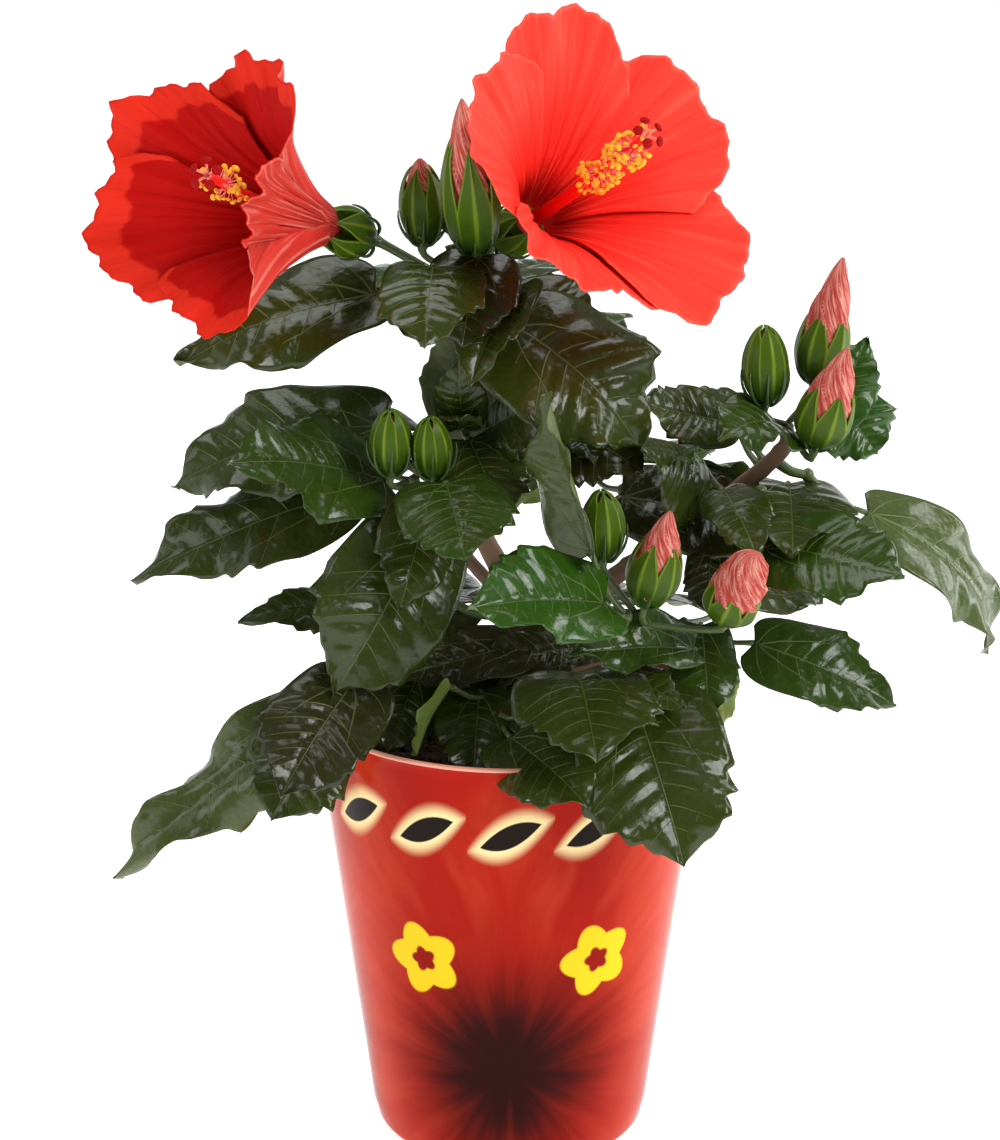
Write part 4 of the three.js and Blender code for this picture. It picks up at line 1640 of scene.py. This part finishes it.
    def build(self, whorls: Repeat, strap: bpy.types.Object, scatter: Repeat) -> None:
        """Builds the bloom's pieces.

        Args:
            whorls: The tree that sets the bracts.
            strap: One bract.
            scatter: The tree that sets the anthers.
        """
        petals = Shape()
        for number, petal in enumerate(self.petals):
            face, places = self.petal_face(petal, number)
            petals.plate(face, self.DEPTH, self.face, self.back, places)
        settle(petals.build(self.name + "_petals"), "petal", self.name)
        calyx, stalk = Shape(), Shape()
        seat = Axis(self.ahead(-self.tube - 3), self.ahead(0))
        Calyx(seat, self.CALYX_RADIUS, self.tube + 2, cup=0.5, gape=0.3, turn=0.3).grow(calyx)
        settle(calyx.build(self.name + "_calyx"), "bud")
        path = curve([self.foot, self.ahead(-self.tube - 8), self.ahead(-self.tube - 2)], 16)
        stalk.tube(path, 1.5 + 1.9 * smooth(0.7, 1, np.linspace(0, 1, 16)), 12, STALK_GREEN)
        settle(stalk.build(self.name + "_stalk"), "bud")
        sites = [(self.ahead(-self.tube - 4), self.ahead(0), 0.9)]
        settle(ring_of_bracts(self.name, sites, whorls, strap), "bud")
        self.build_column()
        self.build_anthers(scatter)

    def column_path(self) -> Array:
        """Gives places along the column, which bends up a little towards its tip."""
        centre, axis, right, up = self.frame()
        u = np.linspace(0, 1, self.STEPS)[:, None]
        return centre + axis * (self.column * u - 4 * (1 - u)) + (up * self.lift + right * self.sway) * u**2

    def build_column(self) -> None:
        """Builds the column and the five stigmas, each on its own thread."""
        column, pads = Shape(), Shape()
        path = self.column_path()
        u = np.linspace(0, 1, self.STEPS)
        column.tube(path, 2.3 - 1.1 * u + 0.12 * np.sin(40 * u), 14, COLUMN)
        tip, along = path[-1], unit(path[-1] - path[-3])
        right = unit(np.cross(along, SKY))
        up = np.cross(right, along)
        w = np.linspace(-1, 1, 9)
        for i in range(self.STIGMAS):
            turn = 2 * np.pi * i / self.STIGMAS + 0.3
            out = right * math.cos(turn) + up * math.sin(turn)
            end = tip + along * 3.4 + out * 4
            thread = curve([tuple(tip - along), tuple(tip + along * 2.2 + out * 1.3), tuple(end)], 8)
            column.tube(thread, np.full(8, 0.4), 7, FILAMENT)
            pad = end + np.outer(w * 0.8, unit(along + out * 0.7))
            pads.tube(pad, 1.6 * np.sqrt(1.02 - w**2), 14, STIGMA)
        settle(column.build(self.name + "_column"), "petal")
        settle(pads.build(self.name + "_stigmas"), "petal")

    def build_anthers(self, scatter: Repeat) -> None:
        """Builds the anthers and their filaments, strewn alike over a sleeve round the column.

        Args:
            scatter: The tree that strews them.
        """
        band = self.column_path()[round(self.STEPS * self.bare) : self.STEPS - 2]
        for name, finish, maker in (("anthers", ANTHER, anther), ("filaments", FILAMENT, filament)):
            sleeve = Shape()
            sleeve.tube(band, np.full(len(band), 1.2), 10, FILAMENT)
            grain = maker()
            piece = scatter.over(
                sleeve.build(self.name + "_sleeve"), f"{self.name}_{name}", Density=self.ANTHER_DENSITY,
                Smallest=0.55, Largest=1.0, Seed=self.seed, Grain=grain, Finish=finish.material(),
            )
            discard(grain)
            settle(piece, "petal")


def anther() -> bpy.types.Object:
    """Makes one kidney-shaped anther at the end of its filament's reach.

    Returns:
        The anther, to be copied and then discarded.
    """
    w = np.linspace(-1, 1, 7)
    path = np.column_stack([1.3 * w, 0 * w, 4.6 - 0.35 * w**2])
    shape = Shape()
    shape.tube(path, 0.85 * np.sqrt(1.04 - w**2), 8, ANTHER)
    return shape.build("anther_part")


def filament() -> bpy.types.Object:
    """Makes one filament, which stands out from the column.

    Returns:
        The filament, to be copied and then discarded.
    """
    w = np.linspace(0, 1, 4)
    shape = Shape()
    shape.tube(np.column_stack([0 * w, 0 * w, 4.6 * w - 0.4]), 0.24 - 0.06 * w, 5, FILAMENT)
    return shape.build("filament_part")


# ---- pot and soil --------------------------------------------------------------------------------------


@dataclass
class Pot:
    """The tapering pot with its glossy print, rolled lip and terracotta-toned inside.

    `lip` is how far the lip stands out from the wall, and `lip_height` how far down the print ends.
    """

    rim_radius: float = 65.0
    base_radius: float = 45.0
    height: float = 149.0
    wall: float = 1.6
    foot_radius: float = 5.0
    lip: float = 0.5
    lip_height: float = 1.3
    bead: float = 0.8
    hub: float = 0.5
    sides: int = 144

    def outside(self, z: float) -> float:
        """Gives the outside radius at a height."""
        return self.base_radius + (self.rim_radius - self.base_radius) * z / self.height

    def profile(self) -> tuple[list[tuple[float, float]], list[int]]:
        """Gives the section from the middle of the underside, over the lip, to the middle of the floor.

        Returns:
            The radius and height of each place, and the slot of the gap after each: 0 for the print, 1 for
            the lip and 2 for the inside.
        """
        base, bend, wall = self.base_radius, self.foot_radius, self.wall
        under = [(self.hub, 0.0), (base * 0.5, 0.0)]
        arc = np.linspace(0, np.pi / 2, 7)
        foot = [(base - bend * (1 - math.sin(a)) * 0.97, bend * (1 - math.cos(a))) for a in arc]
        side = [float(z) for z in np.linspace(bend, self.height - self.lip_height, 42)]
        out = [(self.outside(z) + 0.12 * self.lip * (z / self.height) ** 30, z) for z in side[1:]]
        middle = self.outside(self.height) - 0.1 + (self.lip - wall) / 2
        half = (self.lip + wall) / 2
        level = self.height - self.bead
        turn = np.linspace(0, np.pi, 9)
        lip = [(middle + half * math.cos(a), level + self.bead * math.sin(a)) for a in turn]
        inner = [(self.outside(z) - wall, z) for z in side[::-1][1:]]
        floor = [(base - wall - 3, wall + 1.5), (base * 0.5, wall), (self.hub, wall)]
        slots = [0] * (len(under + foot + out) - 1) + [1] * len(lip) + [2] * len(inner + floor)
        return [*under, *foot, *out, *lip, *inner, *floor], slots

    def build(self) -> None:
        """Builds the pot as one piece."""
        profile, slots = self.profile()
        r, z = np.array(profile).T[..., None]
        angle = np.arange(self.sides) * 2 * np.pi / self.sides
        rows = np.stack(np.broadcast_arrays(r * np.cos(angle), r * np.sin(angle), z), axis=-1)
        places = np.zeros_like(rows)
        places[..., 1] = z / self.height
        shape = Shape()
        for finish in (PRINT, POT_RIM, POT_INSIDE):
            shape.slot_of(finish)
        shape.rings(rows, np.array(slots)[:, None], places)
        settle(shape.build("pot_printed"), "pot", "pot")


@dataclass
class Soil:
    """The bed of peat, strewn with crumbs and perlite."""

    level: float = 136.0
    radius: float = 61.0
    depth: float = 12.0
    seed: int = 4

    def bed(self) -> Shape:
        """Gives the bed as a lumpy disc with a skirt down into the pot.

        Returns:
            The bed.
        """
        radii = np.array([0.4, 6, 12, 18, 24, 30, 36, 42, 48, 53, 57, 60, self.radius])[::-1]
        sides = 96
        angle = (np.arange(sides) * 2 * np.pi / sides)[None]
        r = radii[:, None]
        x, y = r * np.cos(angle), r * np.sin(angle)
        lumps = 0.7 * np.sin(0.31 * x + 1.3) * np.sin(0.27 * y)
        lumps = lumps + 0.45 * np.sin(0.8 * x + 0.6 * y) + 0.3 * np.sin(1.3 * y - 0.9 * x)
        mound = 1.6 * np.exp(-((r / 16) ** 2)) - 2.6 * smooth(46, self.radius, r)
        top = np.stack([x, y, self.level - 0.6 + lumps * 0.7 + mound], axis=-1)
        skirt = top[:1] * np.array([0.985, 0.985, 0]) + np.array([0, 0, self.level - self.depth])
        shape = Shape()
        shape.rings(np.concatenate([skirt, top]), shape.slot_of(EARTH))
        return shape

    def build(self, scatter: Repeat) -> None:
        """Builds the bed, the crumbs and the perlite.

        Args:
            scatter: The tree that strews them.
        """
        settle(self.bed().build("soil_bed"), "soil", "soil")
        for name, finish, density, small, large in (
            ("soil_crumbs", CRUMB, 60000.0, 0.5, 1.5),
            ("soil_perlite", PERLITE, 3500.0, 0.5, 1.1),
        ):
            grain = self.grain(finish)
            carrier = self.upper()
            piece = scatter.over(
                carrier, name, Density=density, Smallest=small, Largest=large,
                Seed=self.seed, Grain=grain, Finish=finish.material(),
            )
            discard(grain)
            settle(piece, "soil")

    def upper(self) -> bpy.types.Object:
        """Gives the open part of the bed that grains lie on.

        Returns:
            A sheet, to be strewn and then discarded.
        """
        radii, sides = np.array([3.0, 20, 40, 57]), 48
        angle = np.arange(sides) * 2 * np.pi / sides
        levels = self.level - 0.4 - 2.2 * smooth(46, 61, radii)
        flat = [(r * math.cos(a), r * math.sin(a), z) for r, z in zip(radii, levels) for a in angle]
        index = np.arange(len(flat)).reshape(len(radii), sides)
        after = np.roll(index, -1, axis=1)
        shape = Shape()
        quads = np.stack([index[:-1], index[1:], after[1:], after[:-1]], axis=-1).reshape(-1, 4)
        shape.add(np.array(flat), quads, shape.slot_of(EARTH))
        return shape.build("soil_upper")

    def grain(self, finish: Finish) -> bpy.types.Object:
        """Gives one uneven grain.

        Args:
            finish: What it is made of.

        Returns:
            The grain, to be copied and then discarded.
        """
        w = np.linspace(-1, 1, 5)
        bumps = 1 + np.random.default_rng(self.seed).uniform(-0.25, 0.25, (5, 6))
        path = np.column_stack([1.3 * w, 0 * w, 0.3 + 0 * w])
        shape = Shape()
        shape.tube(path, np.sqrt(1.08 - w**2)[:, None] * bumps, 6, finish)
        return shape.build("grain_part")


# ---- studio --------------------------------------------------------------------------------------------


@dataclass
class Studio:
    """A pale sweep, soft lights and the camera.

    The camera looks down by `pitch` degrees. Each light has a name, where it stands, what it looks at, its
    width and height in metres, and its power in watts.
    """

    camera_at: Point = (-3.29, -1034.0, 521.0)
    pitch: float = 17.59
    focal_length: float = 105.6632
    sensor: float = 36.0
    lights: list[tuple[str, Point, Point, float, float, float]] = field(default_factory=lambda: [
        ("key", (1000, -950, 1200), (0, 0, 220), 0.6, 0.8, 20.0),
        ("fill", (-1150, -800, 900), (0, 0, 200), 0.5, 1.2, 7.0),
        ("top", (-100, 350, 1500), (0, 0, 200), 1.0, 1.0, 11.0),
        ("side", (-1500, 250, 500), (0, 0, 150), 1.2, 1.6, 6.0),
        ("rim", (1150, 420, 650), (0, 0, 170), 0.35, 1.4, 11.0),
    ])
    sky: float = 0.18

    def build(self) -> None:
        """Builds the sweep, the lights, the sky and the camera."""
        self.sweep()
        for name, at, to, wide, high, power in self.lights:
            self.light(name, at, to, (wide, high), power)
        world = bpy.data.worlds.new("studio_sky")
        world.use_nodes = True
        world.node_tree.nodes["Background"].inputs["Color"].default_value = (1, 1, 1, 1)
        world.node_tree.nodes["Background"].inputs["Strength"].default_value = self.sky
        bpy.context.scene.world = world
        bpy.context.scene.view_settings.view_transform = "Standard"
        self.camera()

    def sweep(self) -> None:
        """Builds the floor, which curves up behind into a wall."""
        wide, front, back, bend, high = 6000.0, 4500.0, 4200.0, 500.0, 1100.0
        turns = np.linspace(0, math.pi / 2, 14)
        arc = [(back + bend * math.sin(a), bend * (1 - math.cos(a))) for a in turns]
        y, z = np.array([(-front, 0.0), (0.0, 0.0), *arc, (back + bend, high)]).T[..., None]
        face = np.stack(np.broadcast_arrays(np.linspace(-wide, wide, 5), y, z), axis=-1)
        shape = Shape()
        shape.plate(face[:, ::-1], 20.0, FLOOR, FLOOR)
        shape.build("studio_sweep")

    @staticmethod
    def light(name: str, at: Point, to: Point, size: tuple[float, float], power: float) -> None:
        """Adds one soft rectangular light.

        Args:
            name: Its name.
            at: Where it stands.
            to: What it looks at.
            size: Its width and height, in metres.
            power: Its power, in watts.
        """
        lamp = bpy.data.lights.new(name, "AREA")
        lamp.shape = "RECTANGLE"
        lamp.size, lamp.size_y = size
        lamp.energy = power
        stand = placed(name, lamp)
        stand.location = Vector(at) * MM
        stand.rotation_euler = (Vector(to) - Vector(at)).to_track_quat("-Z", "Y").to_euler()

    def camera(self) -> None:
        """Adds the camera, a long lens that looks a little down."""
        lens = bpy.data.cameras.new("camera")
        lens.sensor_width = self.sensor
        lens.lens = self.focal_length
        lens.clip_end = 30
        view = placed("camera", lens)
        view.location = Vector(self.camera_at) * MM
        view.rotation_euler = (math.radians(90 - self.pitch), 0, 0)
        bpy.context.scene.camera = view


# ---- the plant's own sizes and places ------------------------------------------------------------------

STEMS = [
    Stem(
        "stem_main",
        [
            (-3, 3, 134), (0, 4, 160), (-1, 4, 186), (-13, 3, 214), (-16, 2, 243), (-14, 0, 284),
            (-15, 1, 294),
        ],
        [4.2, 3.9, 3.5, 3.1, 2.8, 2.3, 1.9], flare=2.6, age=(1.0, 0.25), seed=1,
    ),
    Stem(
        "bough_right",
        [(-3, 4, 155), (4, 6, 159), (28, 12, 182), (60, 6, 208), (86, -2, 233), (88, -3, 243)],
        [3.0, 3.4, 3.1, 2.8, 2.8, 2.4], age=(0.9, 0.5), seed=2,
    ),
    Stem(
        "bough_left", [(-13, 3, 208), (-24, -7, 225), (-33, -13, 233)],
        [2.3, 2.0, 1.6], age=(0.4, 0.0), seed=3,
    ),
    Stem(
        "bough_front", [(-4, 1, 150), (1, -1, 152), (18, -16, 162), (34, -30, 172), (42, -38, 184)],
        [2.6, 2.7, 2.4, 2.1, 1.8], age=(0.7, 0.2), seed=4,
    ),
    Stem("bough_low_left", [(-1, 3, 146), (-20, -8, 158), (-33, -16, 163)], [2.4, 2.1, 1.7], seed=5),
    Stem("bough_low_right", [(2, 7, 160), (30, 2, 168), (53, -9, 177)], [2.4, 2.1, 1.7], seed=6),
    Stem("bough_back_left", [(-1, 4, 181), (-18, 20, 196), (-30, 36, 210)], [2.3, 2.1, 1.6], seed=7),
    Stem("bough_back_right", [(21, 10, 176), (30, 28, 188), (37, 43, 205)], [2.3, 2.1, 1.6], seed=8),
    Stem(
        "bough_top_back", [(-16, 2, 236), (-8, 16, 250), (0, 28, 262)],
        [2.0, 1.8, 1.5], age=(0.4, 0.0), seed=9,
    ),
]

FOLIAGE = [
    Foliage("foliage_upper_left", (-26, 0, 286), [
        Leaf((-42, -6, 286), 188, -18, 66, 37, 36, 35, Tint.DARK, ruffle=0.06, teeth=5),
        Leaf((-36, 12, 285), 195, -12, 30, 20, -30, 30, Tint.YOUNG),
    ], (-15, 1, 276), 0, 11),
    Foliage("foliage_top", (-14, 0, 294), [
        Leaf((-24, -25, 299), 267, -25, 39, 32, 50, 45, Tint.DARK),
        Leaf((-10, -20, 301), 259, -42, 34, 28, 30, 40, Tint.DEEP),
        Leaf((2, -20, 292), 244, -36, 41, 23, 10, 30, Tint.DARK, fold=30),
        Leaf((-13, 10, 293), 282, 28, 35, 20, 40, 30, Tint.DEEP),
    ], None, 2, 12),
    Foliage("foliage_top_right", (-2, 4, 282), [
        Leaf((0, -10, 277), 339, -39, 56, 47, 40, 60, Tint.DARK, ruffle=0.06),
        Leaf((3, 5, 282), 348, -11, 25, 23, 40, 20, Tint.DARK),
        Leaf((5, 12, 285), 9, -9, 20, 17, 20, 10, Tint.GREEN),
    ], (-13, 2, 274), 2, 13),
    Foliage("foliage_column", (-17, -8, 245), [
        Leaf((-13, -10, 241), 213, 76, 37, 24, -40, 15, Tint.DEEP),
        Leaf((-13, -5, 238), 318, 30, 43, 33, 50, 20, Tint.DARK),
        Leaf((-13, -15, 241), 288, -29, 36, 30, 40, 40, Tint.DARK),
    ], (-15, -2, 236), 2, 14),
    Foliage("foliage_left", (-35, -14, 234), [
        Leaf((-40, 5, 240), 180, -17, 71, 44, 32, 54, Tint.DARK),
        Leaf((-40, -15, 228), 217, 15, 60, 38, 42, 25, Tint.GREEN),
        Leaf((-50, -5, 221), 184, -22, 77, 33, 38, 32, Tint.DARK),
    ], None, 0, 15),
    Foliage("foliage_left_hanging", (-22, -22, 228), [
        Leaf((-27, -30, 216), 220, -52, 59, 42, 50, 40, Tint.DARK, 305),
        Leaf((-20, -40, 234), 281, -25, 36, 35, 50, 35, Tint.GREEN),
    ], (-14, 2, 217), 1, 16),
    Foliage("foliage_left_small", (-22, 12, 180), [
        Leaf((-43, 25, 175.5), 186, -9, 48, 22, 24, 20, Tint.DARK, ruffle=0.02),
        Leaf((-20, 32, 176), 120, -16, 52, 30, 25, 35, Tint.DARK, 110),
    ], (-1, 5, 176), 1, 17),
    Foliage("foliage_middle", (20, 6, 236), [
        Leaf((13, 0, 243), 325, -17, 37, 32, 45, 30, Tint.DEEP),
        Leaf((61, 0, 230), 231, 19, 34, 33, 40, 20, Tint.DARK, curl=1.2, root=(70, 3, 218)),
        Leaf((73, 15, 238.5), 189, 16, 33, 23, 40, -20, Tint.DARK, root=(80, 1, 228)),
        Leaf((75, 25, 241.5), 149, 7, 19, 13, 20, 10, Tint.DARK, root=(82, 1, 229)),
        Leaf((17, 10, 219), 195, -20, 24, 12, -40, 20, Tint.YOUNG, root=(24, 10, 228)),
        Leaf((11, 0, 197), 209, -27, 23, 18, 30, 30, Tint.DARK, root=(14, 9, 172)),
    ], (-13, 3, 226), 2, 18),
    Foliage("foliage_spear", (36, -44, 192), [
        # This leaf's pale grey-green tint is painted sheen of grazing light.
        Leaf((25, -50, 214), 158, 72, 52, 28, 60, -10, Tint.PALE, 200, fold=36),
        Leaf((29, -55, 200), 214, 9, 51, 33, 45, 25, Tint.BRIGHT, fold=26, ruffle=0.05),
    ], (32, -30, 171), 0, 19),
    Foliage("foliage_bud_side", (94, 2, 240), [
        Leaf((103, 5, 242), 36, 60, 29, 20, 60, 20, Tint.BRIGHT, ruffle=0.08),
        Leaf((104, 10, 248), 338, -48, 23, 25, 60, 30, Tint.BRIGHT, ruffle=0.08),
        Leaf((87, -5, 241), 228, 7, 34, 26, 30, 70, Tint.GREEN, ruffle=0.1, root=(88, -3, 236)),
    ], (87, 0, 234), 0, 20),
    Foliage("foliage_right", (80, -8, 222), [
        Leaf((36, 10, 215), 334, -7, 58, 35, 38, 20, Tint.DEEP, root=(48, 8, 198)),
        Leaf((90, 5, 221), 267, -10, 51, 38, 30, 25, Tint.DARK),
        Leaf((79, -30, 210), 329, -1, 49, 36, 35, 20, Tint.GREEN),
    ], (70, 2, 215), 1, 21),
    Foliage("foliage_far_right", (96, 4, 224), [
        # This leaf's pale grey-green tint is painted sheen of grazing light.
        Leaf((115, 0, 212.5), 14, -49, 69, 32, 26, 78, Tint.PALE, teeth=4),
    ], (84, 0, 231), 0, 22),
    Foliage("foliage_low_right", (56, -10, 178), [
        Leaf((78, -20, 175), 352, -22, 50, 28, 42, 24, Tint.GREEN),
        Leaf((61, -20, 181), 272, -36, 37, 22, 40, 30, Tint.GREEN),
        Leaf((76, 15, 182), 26, -8, 35, 24, 30, 20, Tint.DARK),
        Leaf((69, -5, 166), 75, -78, 27, 10, 40, 30, Tint.YOUNG, root=(64, -6, 176)),
        Leaf((64, -14, 206), 262, -62, 22, 17, 50, 20, Tint.DEEP, root=(60, -8, 184)),
    ], None, 0, 23),
    Foliage("foliage_front", (34, -36, 168), [
        Leaf((21, -40, 172), 276, -14, 50, 42, 45, 40, Tint.DARK),
        Leaf((38, -45, 165), 291, -44, 58, 48, 45, 55, Tint.DARK),
        Leaf((58, -35, 178), 206, 6, 47, 20, 42, 30, Tint.GREEN, root=(50, -10, 176), fold=30, ruffle=0.07),
        Leaf((30, -6, 169), 198, -2, 42, 26, 35, 20, Tint.DEEP, root=(18, -14, 163)),
    ], (20, -20, 163), 1, 24),
    Foliage("foliage_front_low", (-6, -24, 158), [
        Leaf((0, -45, 152), 304, -13, 43, 32, 40, 30, Tint.DARK),
        Leaf((8, -8, 171), 203, -9, 57, 26, 20, 20, Tint.DEEP),
        Leaf((-10, -24, 160), 266, -40, 34, 26, 50, 30, Tint.DARK),
        Leaf((-2, -20, 160), 276, -36, 32, 24, 45, 30, Tint.DEEP),
        Leaf((-30, -18, 163), 243, -44, 28, 24, 50, 20, Tint.DARK),
        Leaf((2, -2, 169), 238, -38, 28, 24, 45, 30, Tint.DEEP),
        Leaf((-19, -33, 165), 224, -51, 25, 13, -30, 20, Tint.YOUNG, fold=35),
    ], (0, 2, 147), 1, 25),
    Foliage("foliage_low_left", (-37, -19, 164), [
        # The first leaf's pale grey-green tint is painted sheen of grazing light.
        Leaf((-52, -20, 157), 190, -37, 96, 28, 42, 34, Tint.PALE, ruffle=0.06),
        Leaf((-49, -45, 171), 238, -32, 48, 36, 50, 30, Tint.DEEP),
        Leaf((-58, -26, 154), 228, -48, 40, 34, 45, 25, Tint.DARK),
    ], None, 0, 26),
    Foliage("foliage_back_left", (-32, 39, 212), [
        Leaf((-46, 50, 216), 145, -12, 66, 40, 40, 45, Tint.GREEN, 145),
        Leaf((-30, 60, 214), 95, -20, 62, 38, 45, 40, Tint.DARK, 95),
        Leaf((-56, 36, 212), 176, -24, 58, 32, 35, 40, Tint.DARK, 150),
    ], None, 2, 27),
    Foliage("foliage_back_right", (38, 45, 207), [
        Leaf((44, 62, 212), 75, -14, 62, 40, 40, 40, Tint.GREEN, 75),
        Leaf((58, 46, 208), 25, -20, 62, 38, 35, 45, Tint.DARK, 40),
        Leaf((26, 64, 209), 104, -22, 54, 34, 45, 35, Tint.DARK, 100),
    ], None, 3, 28),
    Foliage("foliage_back_top", (2, 31, 264), [
        Leaf((8, 44, 264), 64, -18, 60, 38, 40, 45, Tint.GREEN, 70),
        Leaf((14, 40, 258), 80, -36, 50, 32, 45, 40, Tint.DARK, 90),
        Leaf((-14, 40, 270), 138, -10, 60, 38, 38, 40, Tint.DARK, 130),
        Leaf((0, 46, 256), 98, -42, 54, 34, 45, 35, Tint.DARK, 95),
    ], None, 1, 29),
    Foliage("foliage_back_upper", (-20, 14, 274), [
        Leaf((-32, 24, 280), 148, -6, 56, 36, 35, 45, Tint.BRIGHT, 140),
        Leaf((-18, 30, 276), 105, -30, 54, 36, 45, 40, Tint.DARK, 105),
        Leaf((-4, 22, 284), 50, -8, 50, 32, 30, 40, Tint.GREEN, 60),
    ], (-15, 2, 262), 0, 30),
    Foliage("foliage_back_middle", (-22, 14, 226), [
        Leaf((-36, 28, 232), 152, -4, 60, 36, 35, 45, Tint.DARK, 140),
        Leaf((-8, 34, 232), 84, -22, 58, 38, 45, 40, Tint.GREEN, 90),
    ], (-13, 5, 213), 2, 31),
    Foliage("foliage_back_low", (8, 34, 166), [
        Leaf((14, 52, 168), 78, -26, 64, 40, 40, 50, Tint.GREEN, 80),
        Leaf((-10, 50, 166), 118, -24, 60, 36, 40, 45, Tint.DARK, 115),
        Leaf((34, 44, 168), 38, -20, 60, 36, 35, 45, Tint.DARK, 50),
    ], (0, 5, 151), 3, 32),
]

BLOOMS = [
    Bloom(
        "bloom_left", foot=(-18, 0, 288), throat=(-58, -19, 311), heading=233, rise=20,
        tube=20, column=65, bare=0.77, lift=3, sway=8, wave=3.0, recurve=0.08,
        petals=[
            Petal(94, 41, 64, 56, roll=-110, crease=0.5), Petal(154, 49, 77, 39), Petal(200, 49, 72, 38),
            Petal(262, 47, 51, 46, roll=200), Petal(356, 13, 62, 44, fan=24),
        ],
        folds=[
            (34, 24, 75), (12, 19, 84), (318, 18, 58), (240, 50, 50), (60, 36, 60), (126, 45, 55),
            (219, 53, 76),
        ],
        face=CRIMSON_FACE, back=CRIMSON_BACK, seed=41,
    ),
    Bloom(
        "bloom_right", foot=(-12, 0, 288), throat=(8, -14, 312), heading=306, rise=29,
        tube=18, column=62, bare=0.5, lift=3, sway=0, wave=2.0, recurve=0.04,
        petals=[
            Petal(84, 56, 66, 42), Petal(22, 56, 65), Petal(314, 54, 67, 50), Petal(240, 42, 53, 60),
            Petal(144, 48, 58, 53),
        ],
        folds=[(203, 45, 50), (120, 54, 62)],
        face=SCARLET_FACE, back=SCARLET_BACK, seed=52,
    ),
]

BUDS = [
    BudCluster("buds_top", (-16, 2, 290), [
        Bud((-27, -6, 303), (-28, -12, 330), 6.9, 0.94, 0.62, 0.1, 0.9, 0.7),
        Bud((-16, 2, 304), (-16, 0, 322), 3.5, 1.0, 0.8),
        Bud((-11, -20, 304), (-14.5, -57, 356), 8.6, 0.76, 0.45, 0.35, 0.86),
    ]),
    BudCluster("buds_left", (-28, -24, 228), [
        Bud((-37, -30, 235), (-37, -34, 256), 6.3, 1.0, 0.85),
        Bud((-24, -31, 234), (-25, -35, 254), 5.9, 1.0, 0.85),
    ]),
    BudCluster("buds_right", (88, -4, 243), [
        Bud((81, -6, 251), (80, -6, 276), 7.0, 1.0, 0.85),
        Bud((97, 2, 256), (105, 2, 296), 8.2, 0.6, 0.45, 0.35, 0.88),
        Bud((96, -14, 239), (105, -20, 272), 8.6, 0.62, 0.45, 0.5, 0.9),
    ]),
    BudCluster("buds_front", (42, -40, 188), [
        Bud((29, -40, 210), (28, -44, 233), 6.6, 1.0, 0.85),
        Bud((42, -46, 197), (49, -50, 228), 8.2, 0.72, 0.5, 0.3, 0.92),
        Bud((66, -46, 192), (75, -56, 216), 8.6, 0.6, 0.42, 0.4, 0.97, 0.5),
    ]),
]


def main() -> None:
    """Builds every sub-assembly in order, then the studio."""
    logging.basicConfig(level=logging.INFO, format="%(name)s %(message)s")
    scatter, whorls, strap = scatter_tree(), whorl_tree(), bract()
    Pot().build()
    Soil().build(scatter)
    for stem in STEMS:
        stem.build()
    for mass in FOLIAGE:
        mass.build()
    for bloom in BLOOMS:
        bloom.build(whorls, strap, scatter)
    for cluster in BUDS:
        cluster.build(whorls, strap)
    discard(strap)
    Studio().build()


if __name__ == "__main__":
    main()
